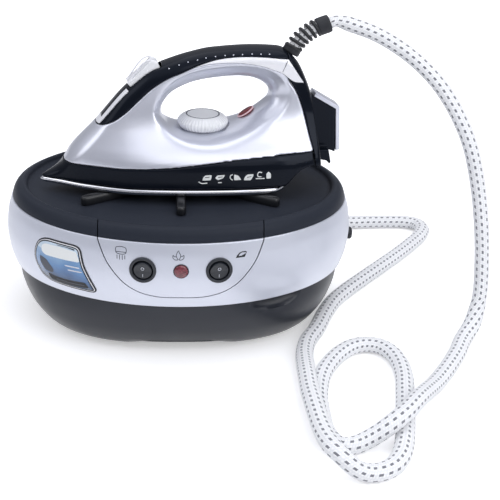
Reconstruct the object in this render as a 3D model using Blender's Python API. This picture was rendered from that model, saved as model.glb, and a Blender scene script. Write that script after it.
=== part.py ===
"""Steam generator iron: a boiler base with a steam iron resting on its deck.

Metres, +Z up. The base stands on z = 0 with its plan centred on the origin, its control
panel faces -Y, and the iron's tip points to -X. The iron is built in a frame of its own,
whose origin is under the middle of its soleplate.
"""

import math

import bmesh
import bpy
from mathutils import Matrix, Vector

mm = 0.001
degree = math.pi / 180

# Clearances and cutters
GAP = 0.3 * mm
OVERRUN = 12 * mm
ROUND_COUNT = 24
PLAN_COUNT = 60

# Base: plan and heights
BASE_HALF_LENGTH = 166 * mm
BASE_HALF_DEPTH = 129 * mm
TUB_BOTTOM = 6 * mm
BAND_BOTTOM = 58.4 * mm
BAND_TOP = 120.4 * mm
RIM_TOP = 133.4 * mm
DECK_RECESS = 4.8 * mm
TUB_WALL = 2.6 * mm
BAND_WALL = 2.5 * mm
COVER_WALL = 2.8 * mm
FLANGE_THICKNESS = 2.4 * mm
FLANGE_share = 0.915
TUB_CORNER = 1.2
tub_shares = ((0, 0.755), (0.04, 0.785), (0.2, 0.845), (0.45, 0.9), (0.75, 0.935), (1, 0.945))
band_shares = ((0, 0.965), (0.22, 0.989), (0.5, 1), (0.78, 0.989), (1, 0.965))
COVER_LOW_share = 0.962
COVER_MID_share = 0.95
RIM_OUTER_share = 0.909
RIM_INNER_share = 0.882
DECK_share = 0.872
ARCH_HALF_WIDTH = 52 * mm
ARCH_RISE = 5 * mm

# Rubber pieces of the base
RIB_HEIGHT = 8.4 * mm
RIB_WIDTH = 9 * mm
RIB_INNER = 44 * mm
RIB_SIDE_OUTER = 108 * mm
RIB_FRONT_OUTER = 83 * mm
FOOT_RADIUS = 11 * mm
FOOT_X_share = 0.506
FOOT_Y_share = 0.45
FOOT_X = BASE_HALF_LENGTH * FOOT_X_share
FOOT_Y = BASE_HALF_DEPTH * FOOT_Y_share

# Control panel
PANEL_HALF_WIDTH = 73 * mm
PANEL_LOW = 69.5 * mm
panel_shares = ((1, 1.2), (1, 0.98), (0.96, 0.82), (0.91, 0.65), (0.81, 0.435), (0.67, 0.22), (0.5, 0.08),
                (0.34, 0.02), (0, 0))
CONTROL_Z = 96 * mm
SWITCH_X = 33.4 * mm
BEZEL_RADIUS = 12 * mm
BEZEL_THICKNESS = 2.2 * mm
BARREL_RADIUS = 10 * mm
BARREL_DEPTH = 16 * mm
BARREL_FLOOR = 2 * mm
SEAT_DEPTH = 1.2 * mm
ROCKER_RADIUS = 8.6 * mm
ROCKER_DEPTH = 5 * mm
ROCKER_RISE = 3.4 * mm
ROCKER_TILT = 9 * degree
LAMP_RADIUS = 6.2 * mm
LAMP_DEPTH = 12 * mm
LAMP_DOME = 2.4 * mm

# Badge on the left of the band
BADGE_THICKNESS = 0.9 * mm
BADGE_ANGLE = -130 * degree
badge_angles_and_heights_shares = (
    (-143.4, 0.47), (-140.5, 0.66), (-137.4, 0.81), (-123.5, 0.82), (-121.6, 0.63), (-116.8, 0.19),
    (-117.8, 0.145), (-130.4, 0.15), (-136.8, 0.2), (-142.2, 0.33),
)

# Boiler and its fittings
TANK_RADIUS_share = 0.62
TANK_Y_share = 0.1085
TANK_RADIUS = BASE_HALF_DEPTH * TANK_RADIUS_share
TANK_Y = BASE_HALF_DEPTH * TANK_Y_share
TANK_BOTTOM = 26 * mm
TANK_TOP = 88 * mm
TANK_WALL = 1.6 * mm
TANK_CORNER = 9 * mm
CRADLE_OUTER_share = 0.9625
CRADLE_INNER_share = 0.875
HEATER_RADIUS_share = 0.7
CRADLE_OUTER = TANK_RADIUS * CRADLE_OUTER_share
CRADLE_INNER = TANK_RADIUS * CRADLE_INNER_share
HEATER_RADIUS = TANK_RADIUS * HEATER_RADIUS_share
HEATER_THICKNESS = 7 * mm
NECK_Y_share = 0.589
NECK_Y = BASE_HALF_DEPTH * NECK_Y_share
NECK_RADIUS = 11.5 * mm
NECK_BORE = 8.6 * mm
NECK_PROUD = 2.5 * mm
SEAL_THICKNESS = 2 * mm
CAP_RADIUS = 17 * mm
CAP_HEIGHT = 17 * mm
CAP_PLUG_RADIUS = 8 * mm
CAP_PLUG_LENGTH = 14 * mm
CAP_GRIPS = 10
CAP_GRIP_share = 0.92
VALVE_X_share = 0.5
VALVE_X = -TANK_RADIUS * VALVE_X_share
VALVE_RADIUS = 13 * mm
VALVE_HEIGHT = 12 * mm
COIL_RADIUS = 14 * mm
COIL_HEIGHT = 19 * mm
COIL_BORE = 5 * mm
COIL_ROOF = 2.5 * mm
PLUNGER_RADIUS = 4.4 * mm
PLUNGER_LENGTH = 9 * mm
PIPE_RADIUS = 3 * mm
SWITCH_RADIUS = 11 * mm
SWITCH_HEIGHT = 16 * mm
SPRING_WIRE = 0.5 * mm

# Glands and clip on the base
GLAND_ANGLE = 62 * degree
GLAND_Z = 78 * mm
GLAND_RADIUS = 12 * mm
GLAND_NOSE_RADIUS = 9.5 * mm
GLAND_LENGTH = 24 * mm
GLAND_SEAT = 6 * mm
MAINS_ANGLE = 118 * degree
MAINS_RADIUS = 7.5 * mm
MAINS_LENGTH = 10 * mm
CLIP_ANGLE = -3 * degree
CLIP_Z = 80 * mm
CLIP_RADIUS = 6 * mm
CLIP_LENGTH = 4.8 * mm

# Iron: its frame and main sizes
IRON_YAW = 6.5 * degree
IRON_Y = -5 * mm
IRON_TIP = -132 * mm
IRON_LENGTH = 277 * mm
IRON_HEIGHT = 127 * mm
SOLE_LENGTH_share = 0.8195
SOLE_LENGTH = IRON_LENGTH * SOLE_LENGTH_share
SOLE_HALF_WIDTH = 55 * mm
SOLE_THICKNESS = 5 * mm
BODY_HALF_WIDTH = 52.5 * mm
HANDLE_HALF_WIDTH = 18 * mm
NOSE_share = 0.35
HANDLE_CROWN_share = 0.11
HANDLE_CROWN = IRON_HEIGHT * HANDLE_CROWN_share
SHELL_WALL = 2.8 * mm
CAVITY_ROOF_share = 0.3
CAVITY_ROOF = IRON_HEIGHT * CAVITY_ROOF_share
CAVITY_CROWN = 7 * mm

# Iron outlines, as shares of its length from the tip and of its height
sole_shares = ((0, 0), (0.008, 0.05), (0.03, 0.105), (0.078, 0.225), (0.15, 0.42), (0.22, 0.58),
               (0.357, 0.809),
               (0.45, 0.88), (0.537, 0.93), (0.67, 0.98), (0.802, 1), (0.9, 0.985), (0.955, 0.93),
               (0.985, 0.8),
               (1, 0.5), (1, 0))
plan_shares = ((0, 0.01), (0.018, 0.1), (0.063, 0.22), (0.13, 0.45), (0.18, 0.57), (0.29, 0.8),
               (0.44, 0.93),
               (0.51, 0.965), (0.66, 1), (0.77, 0.985), (0.85, 0.93), (0.9, 0.86), (0.94, 0.78))
flank_shares = ((0, 1), (0.04, 0.985), (0.173, 0.94), (0.213, 0.9), (0.276, 0.77), (0.339, 0.6),
                (0.394, 0.46),
                (0.457, 0.32), (0.551, 0.18), (0.669, 0.08), (0.787, 0.02), (1, 0))
top_shares = ((0.004, 0.05), (0.063, 0.134), (0.105, 0.268), (0.188, 0.457), (0.278, 0.685), (0.3, 0.73),
              (0.379, 0.86), (0.404, 0.88), (0.495, 0.945), (0.581, 0.984), (0.708, 1), (0.794, 0.992),
              (0.838, 0.961), (0.866, 0.89), (0.895, 0.772), (0.915, 0.654), (0.928, 0.472),
              (0.939, 0.268))
section_shares = (0.004, 0.02, 0.04, 0.063, 0.084, 0.105, 0.145, 0.188, 0.233, 0.278, 0.32, 0.36, 0.404,
                  0.45,
                  0.495, 0.54, 0.581, 0.645, 0.708, 0.75, 0.794, 0.816, 0.838, 0.852, 0.866, 0.88, 0.895,
                  0.915,
                  0.928, 0.939)
seam_shares = ((-0.05, 0.213), (0.072, 0.205), (0.126, 0.181), (0.206, 0.173), (0.329, 0.177),
               (0.43, 0.197),
               (0.523, 0.217), (0.693, 0.272), (0.9085, 0.283))
arch_shares = ((-0.05, 0.041), (0.8, 0.041), (0.812, 0.05), (0.829, 0.085), (0.845, 0.122),
               (0.862, 0.152),
               (0.896, 0.176), (0.911, 0.18))
hole_inner_shares = (
    (0.408, 0.551), (0.422, 0.622), (0.455, 0.693), (0.531, 0.764), (0.646, 0.795), (0.715, 0.78),
    (0.758, 0.724), (0.773, 0.661), (0.765, 0.598), (0.729, 0.535), (0.679, 0.465), (0.621, 0.413),
    (0.549, 0.394), (0.477, 0.402), (0.433, 0.441), (0.412, 0.496),
)
hole_outer_shares = (
    (0.379, 0.567), (0.397, 0.655), (0.433, 0.75), (0.505, 0.836), (0.621, 0.878), (0.715, 0.87),
    (0.778, 0.83), (0.816, 0.765), (0.834, 0.685), (0.827, 0.614), (0.791, 0.52), (0.715, 0.425),
    (0.614, 0.346), (0.531, 0.335), (0.455, 0.378), (0.397, 0.472),
)
flare_shares = ((-1.6, 1), (-1, 1), (-0.7, 0.45), (-0.35, 0.1), (0, 0), (0.35, 0.1), (0.7, 0.45), (1, 1),
                (1.6, 1))
grip_shares = ((0.115, 0.46), (0.18, 0.45), (0.202, 0.455), (0.223, 0.47), (0.25, 0.497), (0.283, 0.547),
               (0.333, 0.646), (0.366, 0.71), (0.399, 0.76), (0.431, 0.799), (0.464, 0.828),
               (0.516, 0.878),
               (0.585, 0.925), (0.645, 0.941), (0.729, 0.941), (0.809, 0.925), (0.827, 0.921))
insert_low_shares = ((0.583, 0.906), (0.653, 0.913), (0.722, 0.894), (0.765, 0.866), (0.801, 0.831),
                     (0.854, 0.756), (0.881, 0.752))
INSERT_DEPTH = 3 * mm
rear_edge_shares = ((0.827, 0.945), (0.831, 0.772), (0.851, 0.707), (0.866, 0.638), (0.88, 0.552),
                    (0.89, 0.468),
                    (0.901, 0.363), (0.912, 0.265), (0.918, 0.161))
heel_shares = ((0.9, 0.648), (0.9227, 0.628), (0.9481, 0.597), (1.0048, 0.524), (1.0138, 0.184),
               (0.9953, 0.2),
               (0.93, 0.22), (0.915, 0.3), (0.9, 0.44))
HEEL_HALF_WIDTH = 9 * mm
toe_shares = ((0.92, 0.235), (0.981, 0.232), (0.991, 0.13), (0.985, 0.12), (0.976, 0.145), (0.926, 0.17))
TOE_HALF_WIDTH = 20 * mm
heel_plate_shares = ((0.9255, 0.6246), (0.9481, 0.597), (1.0048, 0.524), (1.0133, 0.2))
HEEL_PLATE_THICKNESS = 3.8 * mm
HEEL_PLATE_HALF_WIDTH = 9.5 * mm

# Parts inside the iron
HEATER_share = 0.78
HEATER_BLOCK_HEIGHT = 14 * mm
DIAL_X_share = 0.5505
DIAL_X = IRON_TIP + IRON_LENGTH * DIAL_X_share
DIAL_RADIUS = 24 * mm
DIAL_FLOOR_share = 0.3906
DIAL_FLOOR = IRON_HEIGHT * DIAL_FLOOR_share
DIAL_HEIGHT = 12.6 * mm
DIAL_TOP_RADIUS = 17.5 * mm
DIAL_GRIPS = 20
DIAL_GRIP_share = 0.97
SHAFT_RADIUS = 3.2 * mm
THERMOSTAT_RADIUS = 10 * mm
THERMOSTAT_HEIGHT = 11 * mm
LENS_X_share = 0.6968
LENS_Z_share = 0.4992
LENS_X = IRON_TIP + IRON_LENGTH * LENS_X_share
LENS_Z = IRON_HEIGHT * LENS_Z_share
LENS_TILT = 34 * degree
LENS_HALF_LENGTH = 9.5 * mm
LENS_HALF_WIDTH = 5.5 * mm
LENS_DEPTH = 4 * mm
LENS_DOME = 1.8 * mm

# Steam button on the handle's front slope
BUTTON_HALF_WIDTH = 8.5 * mm
PIVOT_X_share = 0.3018
PIVOT_Z_share = 0.7291
BUTTON_PIVOT = (IRON_TIP + IRON_LENGTH * PIVOT_X_share, IRON_HEIGHT * PIVOT_Z_share)
button_shares = ((0.2946, 0.7449), (0.3054, 0.7165), (0.4065, 0.8362), (0.3957, 0.8929), (0.3740, 0.9102))
button_well_shares = ((0.2671, 0.7717), (0.3061, 0.7055), (0.4173, 0.7984), (0.4058, 0.8898),
                      (0.3863, 0.9843))
SWITCH_BOX = (11 * mm, 8 * mm, 8 * mm)
TAPPET_RADIUS = 2 * mm
TAPPET_LENGTH = 4 * mm
TAPPET_share = 0.55
STRIP_HALF_WIDTH = 11.5 * mm
STRIP_INNER = 6.5 * mm
STRIP_FRONT_share = 0.2076
STRIP_FRONT = IRON_TIP + IRON_LENGTH * STRIP_FRONT_share
strip_shares = ((0.2094, 0.4614), (0.1661, 0.4614), (0.2671, 0.7323), (0.3014, 0.6630))

# Strain relief at the handle's rear, and the steam hose
relief_shares = ((0.8430, 0.9409), (0.8556, 0.9882), (0.8798, 1.0496), (0.9188, 1.1102), (0.9729, 1.1559))
RELIEF_COIL_RADIUS = 7.4 * mm
RELIEF_WIRE_RADIUS = 1.2 * mm
RELIEF_TURNS = 7
RELIEF_TURN_POINTS = 9
RELIEF_BORE = 5.9 * mm
RELIEF_OUTER = 8.4 * mm
RELIEF_COLLAR_share = 0.74
RELIEF_BASE_share = 0.14
HOSE_CORE_RADIUS = 5.5 * mm
HOSE_RADIUS = 7.25 * mm
HOSE_SPLIT = 101.8 * mm
hose_points = (
    (149.6, 11.2, 285.2), (160.5, 9.4, 282.4), (177.4, 5, 277.4), (197, -1, 268.3), (218.6, -9, 254.2),
    (238.2, -18, 236), (254.9, -27, 212.8), (268.4, -35, 185.8), (278.9, -41, 150.2), (286, -47, 111.8),
               (291.2, -53, 70.3),
    (290, -62, 33), (281.6, -76, 15), (269.6, -93, 7.6), (258.2, -117.5, 7.3), (243.9, -143.3, 7.3),
    (225.2, -174, 9), (210.2, -200, 16.5), (196.7, -223, 22.6), (183.9, -241, 22.9),
               (174.7, -250.3, 21.5),
    (165.9, -255.3, 17.5), (157.6, -257.8, 12.5), (147.8, -261, 8.4), (137.4, -265.5, 7.3),
    (129, -266.5, 7.3), (121.3, -255, 7.3), (118, -241.5, 7.3), (117.5, -222, 7.3), (118, -201, 7.3),
    (121, -178, 7.3), (127.2, -155, 7.3), (136, -136, 7.3), (147.5, -118.8, 7.3), (161.5, -106, 7.3),
    (174.5, -102.2, 7.3), (186.5, -105.3, 7.3), (195.3, -116.3, 7.3), (199.8, -134.5, 7.3),
    (199.8, -159, 7.3), (195.6, -185.6, 7.3), (190.3, -214, 7.3), (185.2, -241, 7.3), (180, -263.8, 7.3),
    (173, -282.8, 7.3), (164.5, -296.5, 7.3), (154, -304, 7.3), (143.5, -306.5, 8), (134.5, -306.5, 12),
    (128, -303.8, 17), (122.4, -299.5, 21.3), (117.8, -290.5, 22.9), (114.2, -277.7, 22.9),
    (111.8, -261.6, 22.9), (110.6, -244.4, 22.9), (109.6, -224.5, 22.6), (109.2, -203.5, 21),
    (110, -177.6, 19), (111.8, -147.3, 13), (114.2, -120.8, 8.6), (120, -95.5, 7.3), (130.7, -73.2, 7.3),
    (141.9, -43.2, 7.3), (154.5, -15.5, 7.3), (171.5, 9.8, 7.3), (192.4, 36.7, 7.3), (216.9, 67.3, 7.3),
    (241.3, 98.2, 7.3), (262.9, 127.9, 7.3), (278.2, 151.8, 7.3), (284, 171.5, 7.3), (279, 185, 7.3),
    (267, 191, 7.3), (248, 192.5, 7.3), (223.8, 191, 7.3), (201.9, 188.4, 7.6), (172, 181, 14),
    (142, 169, 32), (116, 155, 56),
)
HOSE_FINE = 2 * mm
HOSE_STEP = 28 * mm
HOSE_STUB = 5 * mm


def clear_scene():
    for item in list(bpy.data.objects):
        bpy.data.objects.remove(item)


def finish(name, colour, roughness, metallic=0.0):
    """A material of one colour, given as linear red, green and blue."""
    material = bpy.data.materials.new(name)
    material.use_nodes = True
    shader = material.node_tree.nodes["Principled BSDF"]
    shader.inputs["Base Color"].default_value = (*colour, 1)
    shader.inputs["Roughness"].default_value = roughness
    shader.inputs["Metallic"].default_value = metallic
    material.diffuse_color = (*colour, 1)
    return material


def make(name, points, faces, material, parent=None):
    """A mesh object with its faces turned outwards."""
    shape = bmesh.new()
    corners = [shape.verts.new(point) for point in points]
    for face in faces:
        shape.faces.new([corners[index] for index in face])
    bmesh.ops.recalc_face_normals(shape, faces=shape.faces)
    mesh = bpy.data.meshes.new(name)
    shape.to_mesh(mesh)
    shape.free()
    item = bpy.data.objects.new(name, mesh)
    bpy.context.scene.collection.objects.link(item)
    if material:
        mesh.materials.append(material)
    mesh.shade_smooth()
    mesh.set_sharp_from_angle(angle=math.radians(30))
    item.parent = parent
    return item


def loft(name, rings, material, parent=None, closed=False):
    """A skin over rings of equal count, with flat ends, or joined end to start."""
    count = len(rings[0])
    points = [point for ring in rings for point in ring]
    spans = len(rings) if closed else len(rings) - 1
    faces = []
    for row in range(spans):
        low, high = row * count, (row + 1) % len(rings) * count
        for index in range(count):
            after = (index + 1) % count
            faces.append((low + index, low + after, high + after, high + index))
    if not closed:
        faces.append(tuple(range(count)))
        faces.append(tuple(range((len(rings) - 1) * count, len(rings) * count)))
    return make(name, points, faces, material, parent)


def prism(name, outline, near, far, material=None, parent=None):
    """An outline in X and Z, run along Y from near to far."""
    rings = [[Vector((x, y, z)) for x, z in outline] for y in (near, far)]
    return loft(name, rings, material, parent)


def turned(name, profile, at, along, material=None, parent=None, closed=False, count=ROUND_COUNT):
    """A profile of radii and distances, turned about the line through at."""
    turn = Vector(along).to_track_quat("Z", "Y").to_matrix()
    rings = []
    for radius, distance in profile:
        ring = []
        for index in range(count):
            angle = 2 * math.pi * index / count
            point = Vector((radius * math.cos(angle), radius * math.sin(angle), distance))
            ring.append(Vector(at) + turn @ point)
        rings.append(ring)
    return loft(name, rings, material, parent, closed)


def box(name, low, high, material=None, parent=None):
    outline = ((low[0], low[2]), (high[0], low[2]), (high[0], high[2]), (low[0], high[2]))
    return prism(name, outline, low[1], high[1], material, parent)


def cut(item, cutter, operation="DIFFERENCE"):
    """A Boolean with a cutter that isn't part of the model."""
    modifier = item.modifiers.new(cutter.name, "BOOLEAN")
    modifier.operation = operation
    modifier.object = cutter
    cutter.hide_render = True
    cutter.display_type = "WIRE"


def pivot(item, place):
    """Moves an object's origin to a place in its parent's frame and leaves its shape."""
    item.data.transform(Matrix.Translation(-Vector(place)))
    item.location = place


def steady(table, at):
    """A smooth value between the rows of a table, with no overshoot."""
    if at <= table[0][0]:
        return table[0][1]
    for (x0, y0), (x1, y1) in zip(table, table[1:]):
        if at <= x1:
            index = table.index((x0, y0))
            before = table[max(index - 1, 0)]
            after = table[min(index + 2, len(table) - 1)]
            slope = (y1 - y0) / (x1 - x0)
            left = slope if index == 0 else tangent(before, (x0, y0), (x1, y1))
            right = slope if index + 2 > len(table) - 1 else tangent((x0, y0), (x1, y1), after)
            share = (at - x0) / (x1 - x0)
            width = x1 - x0
            return (
                y0 * (1 + 2 * share) * (1 - share) ** 2
                + left * width * share * (1 - share) ** 2
                + y1 * share**2 * (3 - 2 * share)
                + right * width * share**2 * (share - 1)
            )
    return table[-1][1]


def tangent(before, here, after):
    """The slope at a middle row, flat where the table turns."""
    first = (here[1] - before[1]) / (here[0] - before[0])
    second = (after[1] - here[1]) / (after[0] - here[0])
    if first * second <= 0:
        return 0.0
    return 2 * first * second / (first + second)


def offset(line, distance, closed=False):
    """A line in X and Z, moved to its left by a distance, corner by corner."""
    moved = []
    for index, (x, z) in enumerate(line):
        before = line[index - 1] if closed or index > 0 else None
        after = line[(index + 1) % len(line)] if closed or index + 1 < len(line) else None
        first = Vector((before[1] - z, x - before[0])).normalized() if before else None
        second = Vector((z - after[1], after[0] - x)).normalized() if after else None
        first, second = first or second, second or first
        push = (first + second) * distance / max(1 + first.dot(second), 0.2)
        moved.append((x + push.x, z + push.y))
    return moved


def grown(outline, distance):
    """A closed outline in X and Z, moved outwards by a distance."""
    area = sum(a[0] * b[1] - b[0] * a[1] for a, b in zip(outline, [*outline[1:], outline[0]]))
    return offset(outline, -math.copysign(distance, area * distance), True)


def plan(share, z, exponent=2.0, inset=0.0):
    """A ring of the base's plan at a share of its half length and half depth."""
    ring = []
    for index in range(PLAN_COUNT):
        angle = 2 * math.pi * index / PLAN_COUNT
        cosine, sine = math.cos(angle), math.sin(angle)
        x = math.copysign(abs(cosine) ** (2 / exponent), cosine) * (BASE_HALF_LENGTH * share - inset)
        y = math.copysign(abs(sine) ** (2 / exponent), sine) * (BASE_HALF_DEPTH * share - inset)
        ring.append(Vector((x, y, z)))
    return ring


def band_share(z):
    return steady(band_shares, (z - BAND_BOTTOM) / (BAND_TOP - BAND_BOTTOM))


def band_place(angle, z, proud=0.0):
    """A point on the band at a plan angle, and the outward direction there."""
    length = BASE_HALF_LENGTH * band_share(z)
    depth = BASE_HALF_DEPTH * band_share(z)
    normal = Vector((math.cos(angle) / length, math.sin(angle) / depth, 0)).normalized()
    return Vector((length * math.cos(angle), depth * math.sin(angle), z)) + normal * proud, normal


def tub(material):
    """The lower bowl, with a shallow arch lifted under its front."""
    height = BAND_BOTTOM - GAP - TUB_BOTTOM

    def lifted(ring):
        for point in ring:
            reach = abs(point.x) / ARCH_HALF_WIDTH
            if point.y < 0 and reach < 1 and point.z < TUB_BOTTOM + TUB_WALL + ARCH_RISE:
                low = TUB_BOTTOM + TUB_WALL + ARCH_RISE - point.z
                point.z += ARCH_RISE * (1 - reach**2) * min(low / TUB_WALL, 1)
        return ring

    rings = []
    for share, size in tub_shares:
        rings.append(lifted(plan(size, TUB_BOTTOM + share * height, 2 + TUB_CORNER * (1 - share))))
    for share, size in reversed(tub_shares[1:]):
        z = max(TUB_BOTTOM + share * height, TUB_BOTTOM + TUB_WALL)
        rings.append(lifted(plan(size, z, 2 + TUB_CORNER * (1 - share), TUB_WALL)))
    return loft("base_tub", rings, material)


def band_ring(name, inner, outer, material, flange=False):
    """The band as a ring between two offsets, with a flange that rests on the bowl."""
    rings = [plan(size, BAND_BOTTOM + share * (BAND_TOP - BAND_BOTTOM), 2, -outer) for share,
             size in band_shares]
    for share, size in reversed(band_shares[1:]):
        rings.append(plan(size, BAND_BOTTOM + share * (BAND_TOP - BAND_BOTTOM), 2, -inner))
    if flange:
        top = BAND_BOTTOM + FLANGE_THICKNESS
        rings += [plan(band_shares[0][1], top, 2, -inner), plan(FLANGE_share, top),
                  plan(FLANGE_share, BAND_BOTTOM)]
    else:
        rings.append(plan(band_shares[0][1], BAND_BOTTOM, 2, -inner))
    return loft(name, rings, material, closed=True)


def panel_outline(grow):
    """The front panel's rounded U, from its top left round to its top right."""
    height = BAND_TOP - PANEL_LOW
    left = [(-PANEL_HALF_WIDTH * x, PANEL_LOW + z * height) for x, z in panel_shares]
    right = [(-x, z) for x, z in reversed(left[:-1])]
    return offset(left + right, -grow)


def front_tool(name, grow):
    return prism(name, panel_outline(grow), -BASE_HALF_DEPTH - OVERRUN, -BASE_HALF_DEPTH / 2)


def control_panel(material):
    """The silver panel let into the band's front."""
    panel = band_ring("control_panel", -BAND_WALL, 0, material)
    cut(panel, front_tool("panel_tool", -GAP / 2), "INTERSECT")
    return panel


def cover(material):
    """The black lid with its raised rim and its sunken deck."""
    low = BAND_TOP + GAP
    deck = RIM_TOP - DECK_RECESS
    middle = low + (RIM_TOP - low) / 2
    under = deck - COVER_WALL
    rings = [
        plan(DECK_share / 2, under),
        plan(RIM_INNER_share, under, 2, COVER_WALL),
        plan(COVER_MID_share, (low + under) / 2, 2, COVER_WALL),
        plan(COVER_LOW_share, low, 2, COVER_WALL),
        plan(COVER_LOW_share, low),
        plan((COVER_MID_share + COVER_LOW_share) / 2, low + (middle - low) * 0.45),
        plan((COVER_MID_share + RIM_OUTER_share) / 2, middle),
        plan(RIM_OUTER_share, RIM_TOP - COVER_WALL / 4),
        plan((RIM_OUTER_share + RIM_INNER_share) / 2, RIM_TOP),
        plan(RIM_INNER_share, RIM_TOP - COVER_WALL / 5),
        plan(DECK_share, deck),
        plan(DECK_share / 2, deck),
    ]
    return loft("deck_cover", rings, material)


def cap_tool(name, grow):
    """The space of the lid's front segment: in front of the rim and between its seams."""
    half = PANEL_HALF_WIDTH + grow
    tool = box(name, (-half, -BASE_HALF_DEPTH - OVERRUN, BAND_TOP - OVERRUN),
               (half, -BASE_HALF_DEPTH / 2, RIM_TOP + OVERRUN))
    share = (RIM_OUTER_share + RIM_INNER_share) / 2
    rings = [plan(share, z, 2, grow) for z in (BAND_TOP - 2 * OVERRUN, RIM_TOP + 2 * OVERRUN)]
    cut(tool, loft(name + "_inside", rings, None))
    return tool


def build_base(finishes):
    silver, black, rubber = finishes["silver"], finishes["cover"], finishes["rubber"]
    tub(finishes["tub"])
    ring = band_ring("silver_band", -BAND_WALL, 0, silver, True)
    cut(ring, front_tool("panel_space", GAP / 2))
    panel = control_panel(silver)
    lid = cover(black)
    segment = lid.copy()
    segment.data = lid.data.copy()
    segment.name = "front_segment"
    bpy.context.scene.collection.objects.link(segment)
    cut(lid, cap_tool("segment_space", GAP / 2))
    cut(segment, cap_tool("segment_tool", -GAP / 2), "INTERSECT")

    deck = RIM_TOP - DECK_RECESS
    for index, angle in enumerate((-90, -33, -147, 33, 147)):
        outer = RIB_FRONT_OUTER if angle == -90 else RIB_SIDE_OUTER
        rib(f"rest_rib_{index + 1}", angle * degree, outer, deck + GAP, rubber)
    for index, (side, end) in enumerate(((-1, -1), (1, -1), (-1, 1), (1, 1))):
        place = (side * FOOT_X, end * FOOT_Y, 0)
        profile = ((FOOT_RADIUS * 0.9, 0), (FOOT_RADIUS, TUB_BOTTOM * 0.3),
                   (FOOT_RADIUS, TUB_BOTTOM - GAP))
        turned(f"foot_{index + 1}", profile, place, (0, 0, 1), rubber)

    for name, side in (("boiler", -1), ("iron", 1)):
        rocker_switch(name, side * SWITCH_X, panel, finishes)
    ready_lamp(panel, finishes["lamp"])
    badge(finishes["badge"])
    return lid, ring


def rib(name, angle, outer, z, material):
    """A soft bar on the deck, along a radius, with round ends and a crowned top."""
    half = RIB_WIDTH / 2
    outline = []
    for centre, start in ((outer - half, -90), (RIB_INNER + half, 90)):
        for step in range(7):
            turn = math.radians(start + 30 * step)
            outline.append((centre, math.cos(turn), math.sin(turn)))
    rings = []
    for shrink, height in ((1, 0), (1, 0.62), (0.86, 0.88), (0.6, 1)):
        ring = []
        for centre, cosine, sine in outline:
            point = Vector((centre + half * shrink * cosine, half * shrink * sine, 0))
            point.rotate(Matrix.Rotation(angle, 3, "Z"))
            ring.append(point + Vector((0, 0, z + height * RIB_HEIGHT)))
        rings.append(ring)
    return loft(name, rings, material)


def rocker_switch(name, x, panel, finishes):
    """A round rocker switch, set square to the panel, with its rocker on a pin across."""
    angle = -math.acos(x / (BASE_HALF_LENGTH * band_share(CONTROL_Z)))
    place, normal = band_place(angle, CONTROL_Z)
    across = Vector((0, 0, 1)).cross(normal)
    seat = -SEAT_DEPTH
    hole = turned(name + "_seat_tool", ((BARREL_RADIUS + GAP, -OVERRUN), (BARREL_RADIUS + GAP, seat),
                                        (BEZEL_RADIUS + GAP, seat), (BEZEL_RADIUS + GAP, OVERRUN)),
                  place, normal)
    cut(panel, hole)
    bore = ROCKER_RADIUS + 2 * GAP
    face = seat + GAP + BEZEL_THICKNESS
    shell = (
        (BEZEL_RADIUS, seat + GAP), (BEZEL_RADIUS, face - BEZEL_THICKNESS / 4),
        (BEZEL_RADIUS - BEZEL_THICKNESS / 3, face), (bore, face), (bore, -BARREL_DEPTH + BARREL_FLOOR),
        (bore / 4, -BARREL_DEPTH + BARREL_FLOOR), (bore / 4, -BARREL_DEPTH),
             (BARREL_RADIUS, -BARREL_DEPTH),
        (BARREL_RADIUS, seat + GAP),
    )
    turned(name + "_switch_bezel", shell, place, normal, finishes["switch"], closed=True)
    centre = place + normal * (face - ROCKER_RISE)
    half = ROCKER_RADIUS
    dip = math.tan(ROCKER_TILT) * half
    outline = ((-half, -ROCKER_DEPTH), (half, -ROCKER_DEPTH), (half, ROCKER_RISE + dip / 2),
               (0, ROCKER_RISE - dip / 2), (-half, ROCKER_RISE + dip / 2))
    ends = []
    for side in (-half, half):
        ends.append([centre + across * side + Vector((0, 0, 1)) * up + normal * out for up,
                     out in outline])
    rocker = loft(name + "_rocker", ends, finishes["switch"])
    ball = []
    for step in range(1, 12):
        turn = math.pi * step / 12
        ball.append((ROCKER_RADIUS * math.sin(turn), -ROCKER_RADIUS * math.cos(turn)))
    cut(rocker, turned(name + "_ball_tool", ball, centre, normal), "INTERSECT")
    pivot(rocker, centre)
    rocker.rotation_mode = "QUATERNION"
    rocker.rotation_quaternion = Matrix.Rotation(ROCKER_TILT, 3, across).to_quaternion()


def ready_lamp(panel, material):
    """The lamp's lens, pushed through the panel between the switches."""
    place, normal = band_place(-math.pi / 2, CONTROL_Z)
    cut(panel, turned("lamp_tool", ((LAMP_RADIUS + GAP, -OVERRUN), (LAMP_RADIUS + GAP, OVERRUN)), place,
                      normal))
    profile = [(LAMP_RADIUS, -LAMP_DEPTH), (LAMP_RADIUS, GAP)]
    for step in range(1, 5):
        turn = math.pi / 2 * step / 5
        profile.append((LAMP_RADIUS * math.cos(turn), GAP + LAMP_DOME * math.sin(turn)))
    turned("ready_lamp", profile, place, normal, material)


def badge(material):
    """A thin plate that follows the band at its left."""
    centre, normal = band_place(BADGE_ANGLE, (BAND_BOTTOM + BAND_TOP) / 2)
    across = Vector((0, 0, 1)).cross(normal)
    outline = []
    for turn, height in badge_angles_and_heights_shares:
        z = BAND_BOTTOM + height * (BAND_TOP - BAND_BOTTOM)
        point = band_place(turn * degree, z)[0] - centre
        outline.append((across * point.dot(across), z))
    plate = band_ring("badge", GAP, GAP + BADGE_THICKNESS, material)
    rings = []
    for reach in (-OVERRUN * 2, OVERRUN * 2):
        flat = Vector((centre.x, centre.y, 0)) + normal * reach
        rings.append([flat + side + Vector((0, 0, z)) for side, z in outline])
    cut(plate, loft("badge_tool", rings, None), "INTERSECT")


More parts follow.
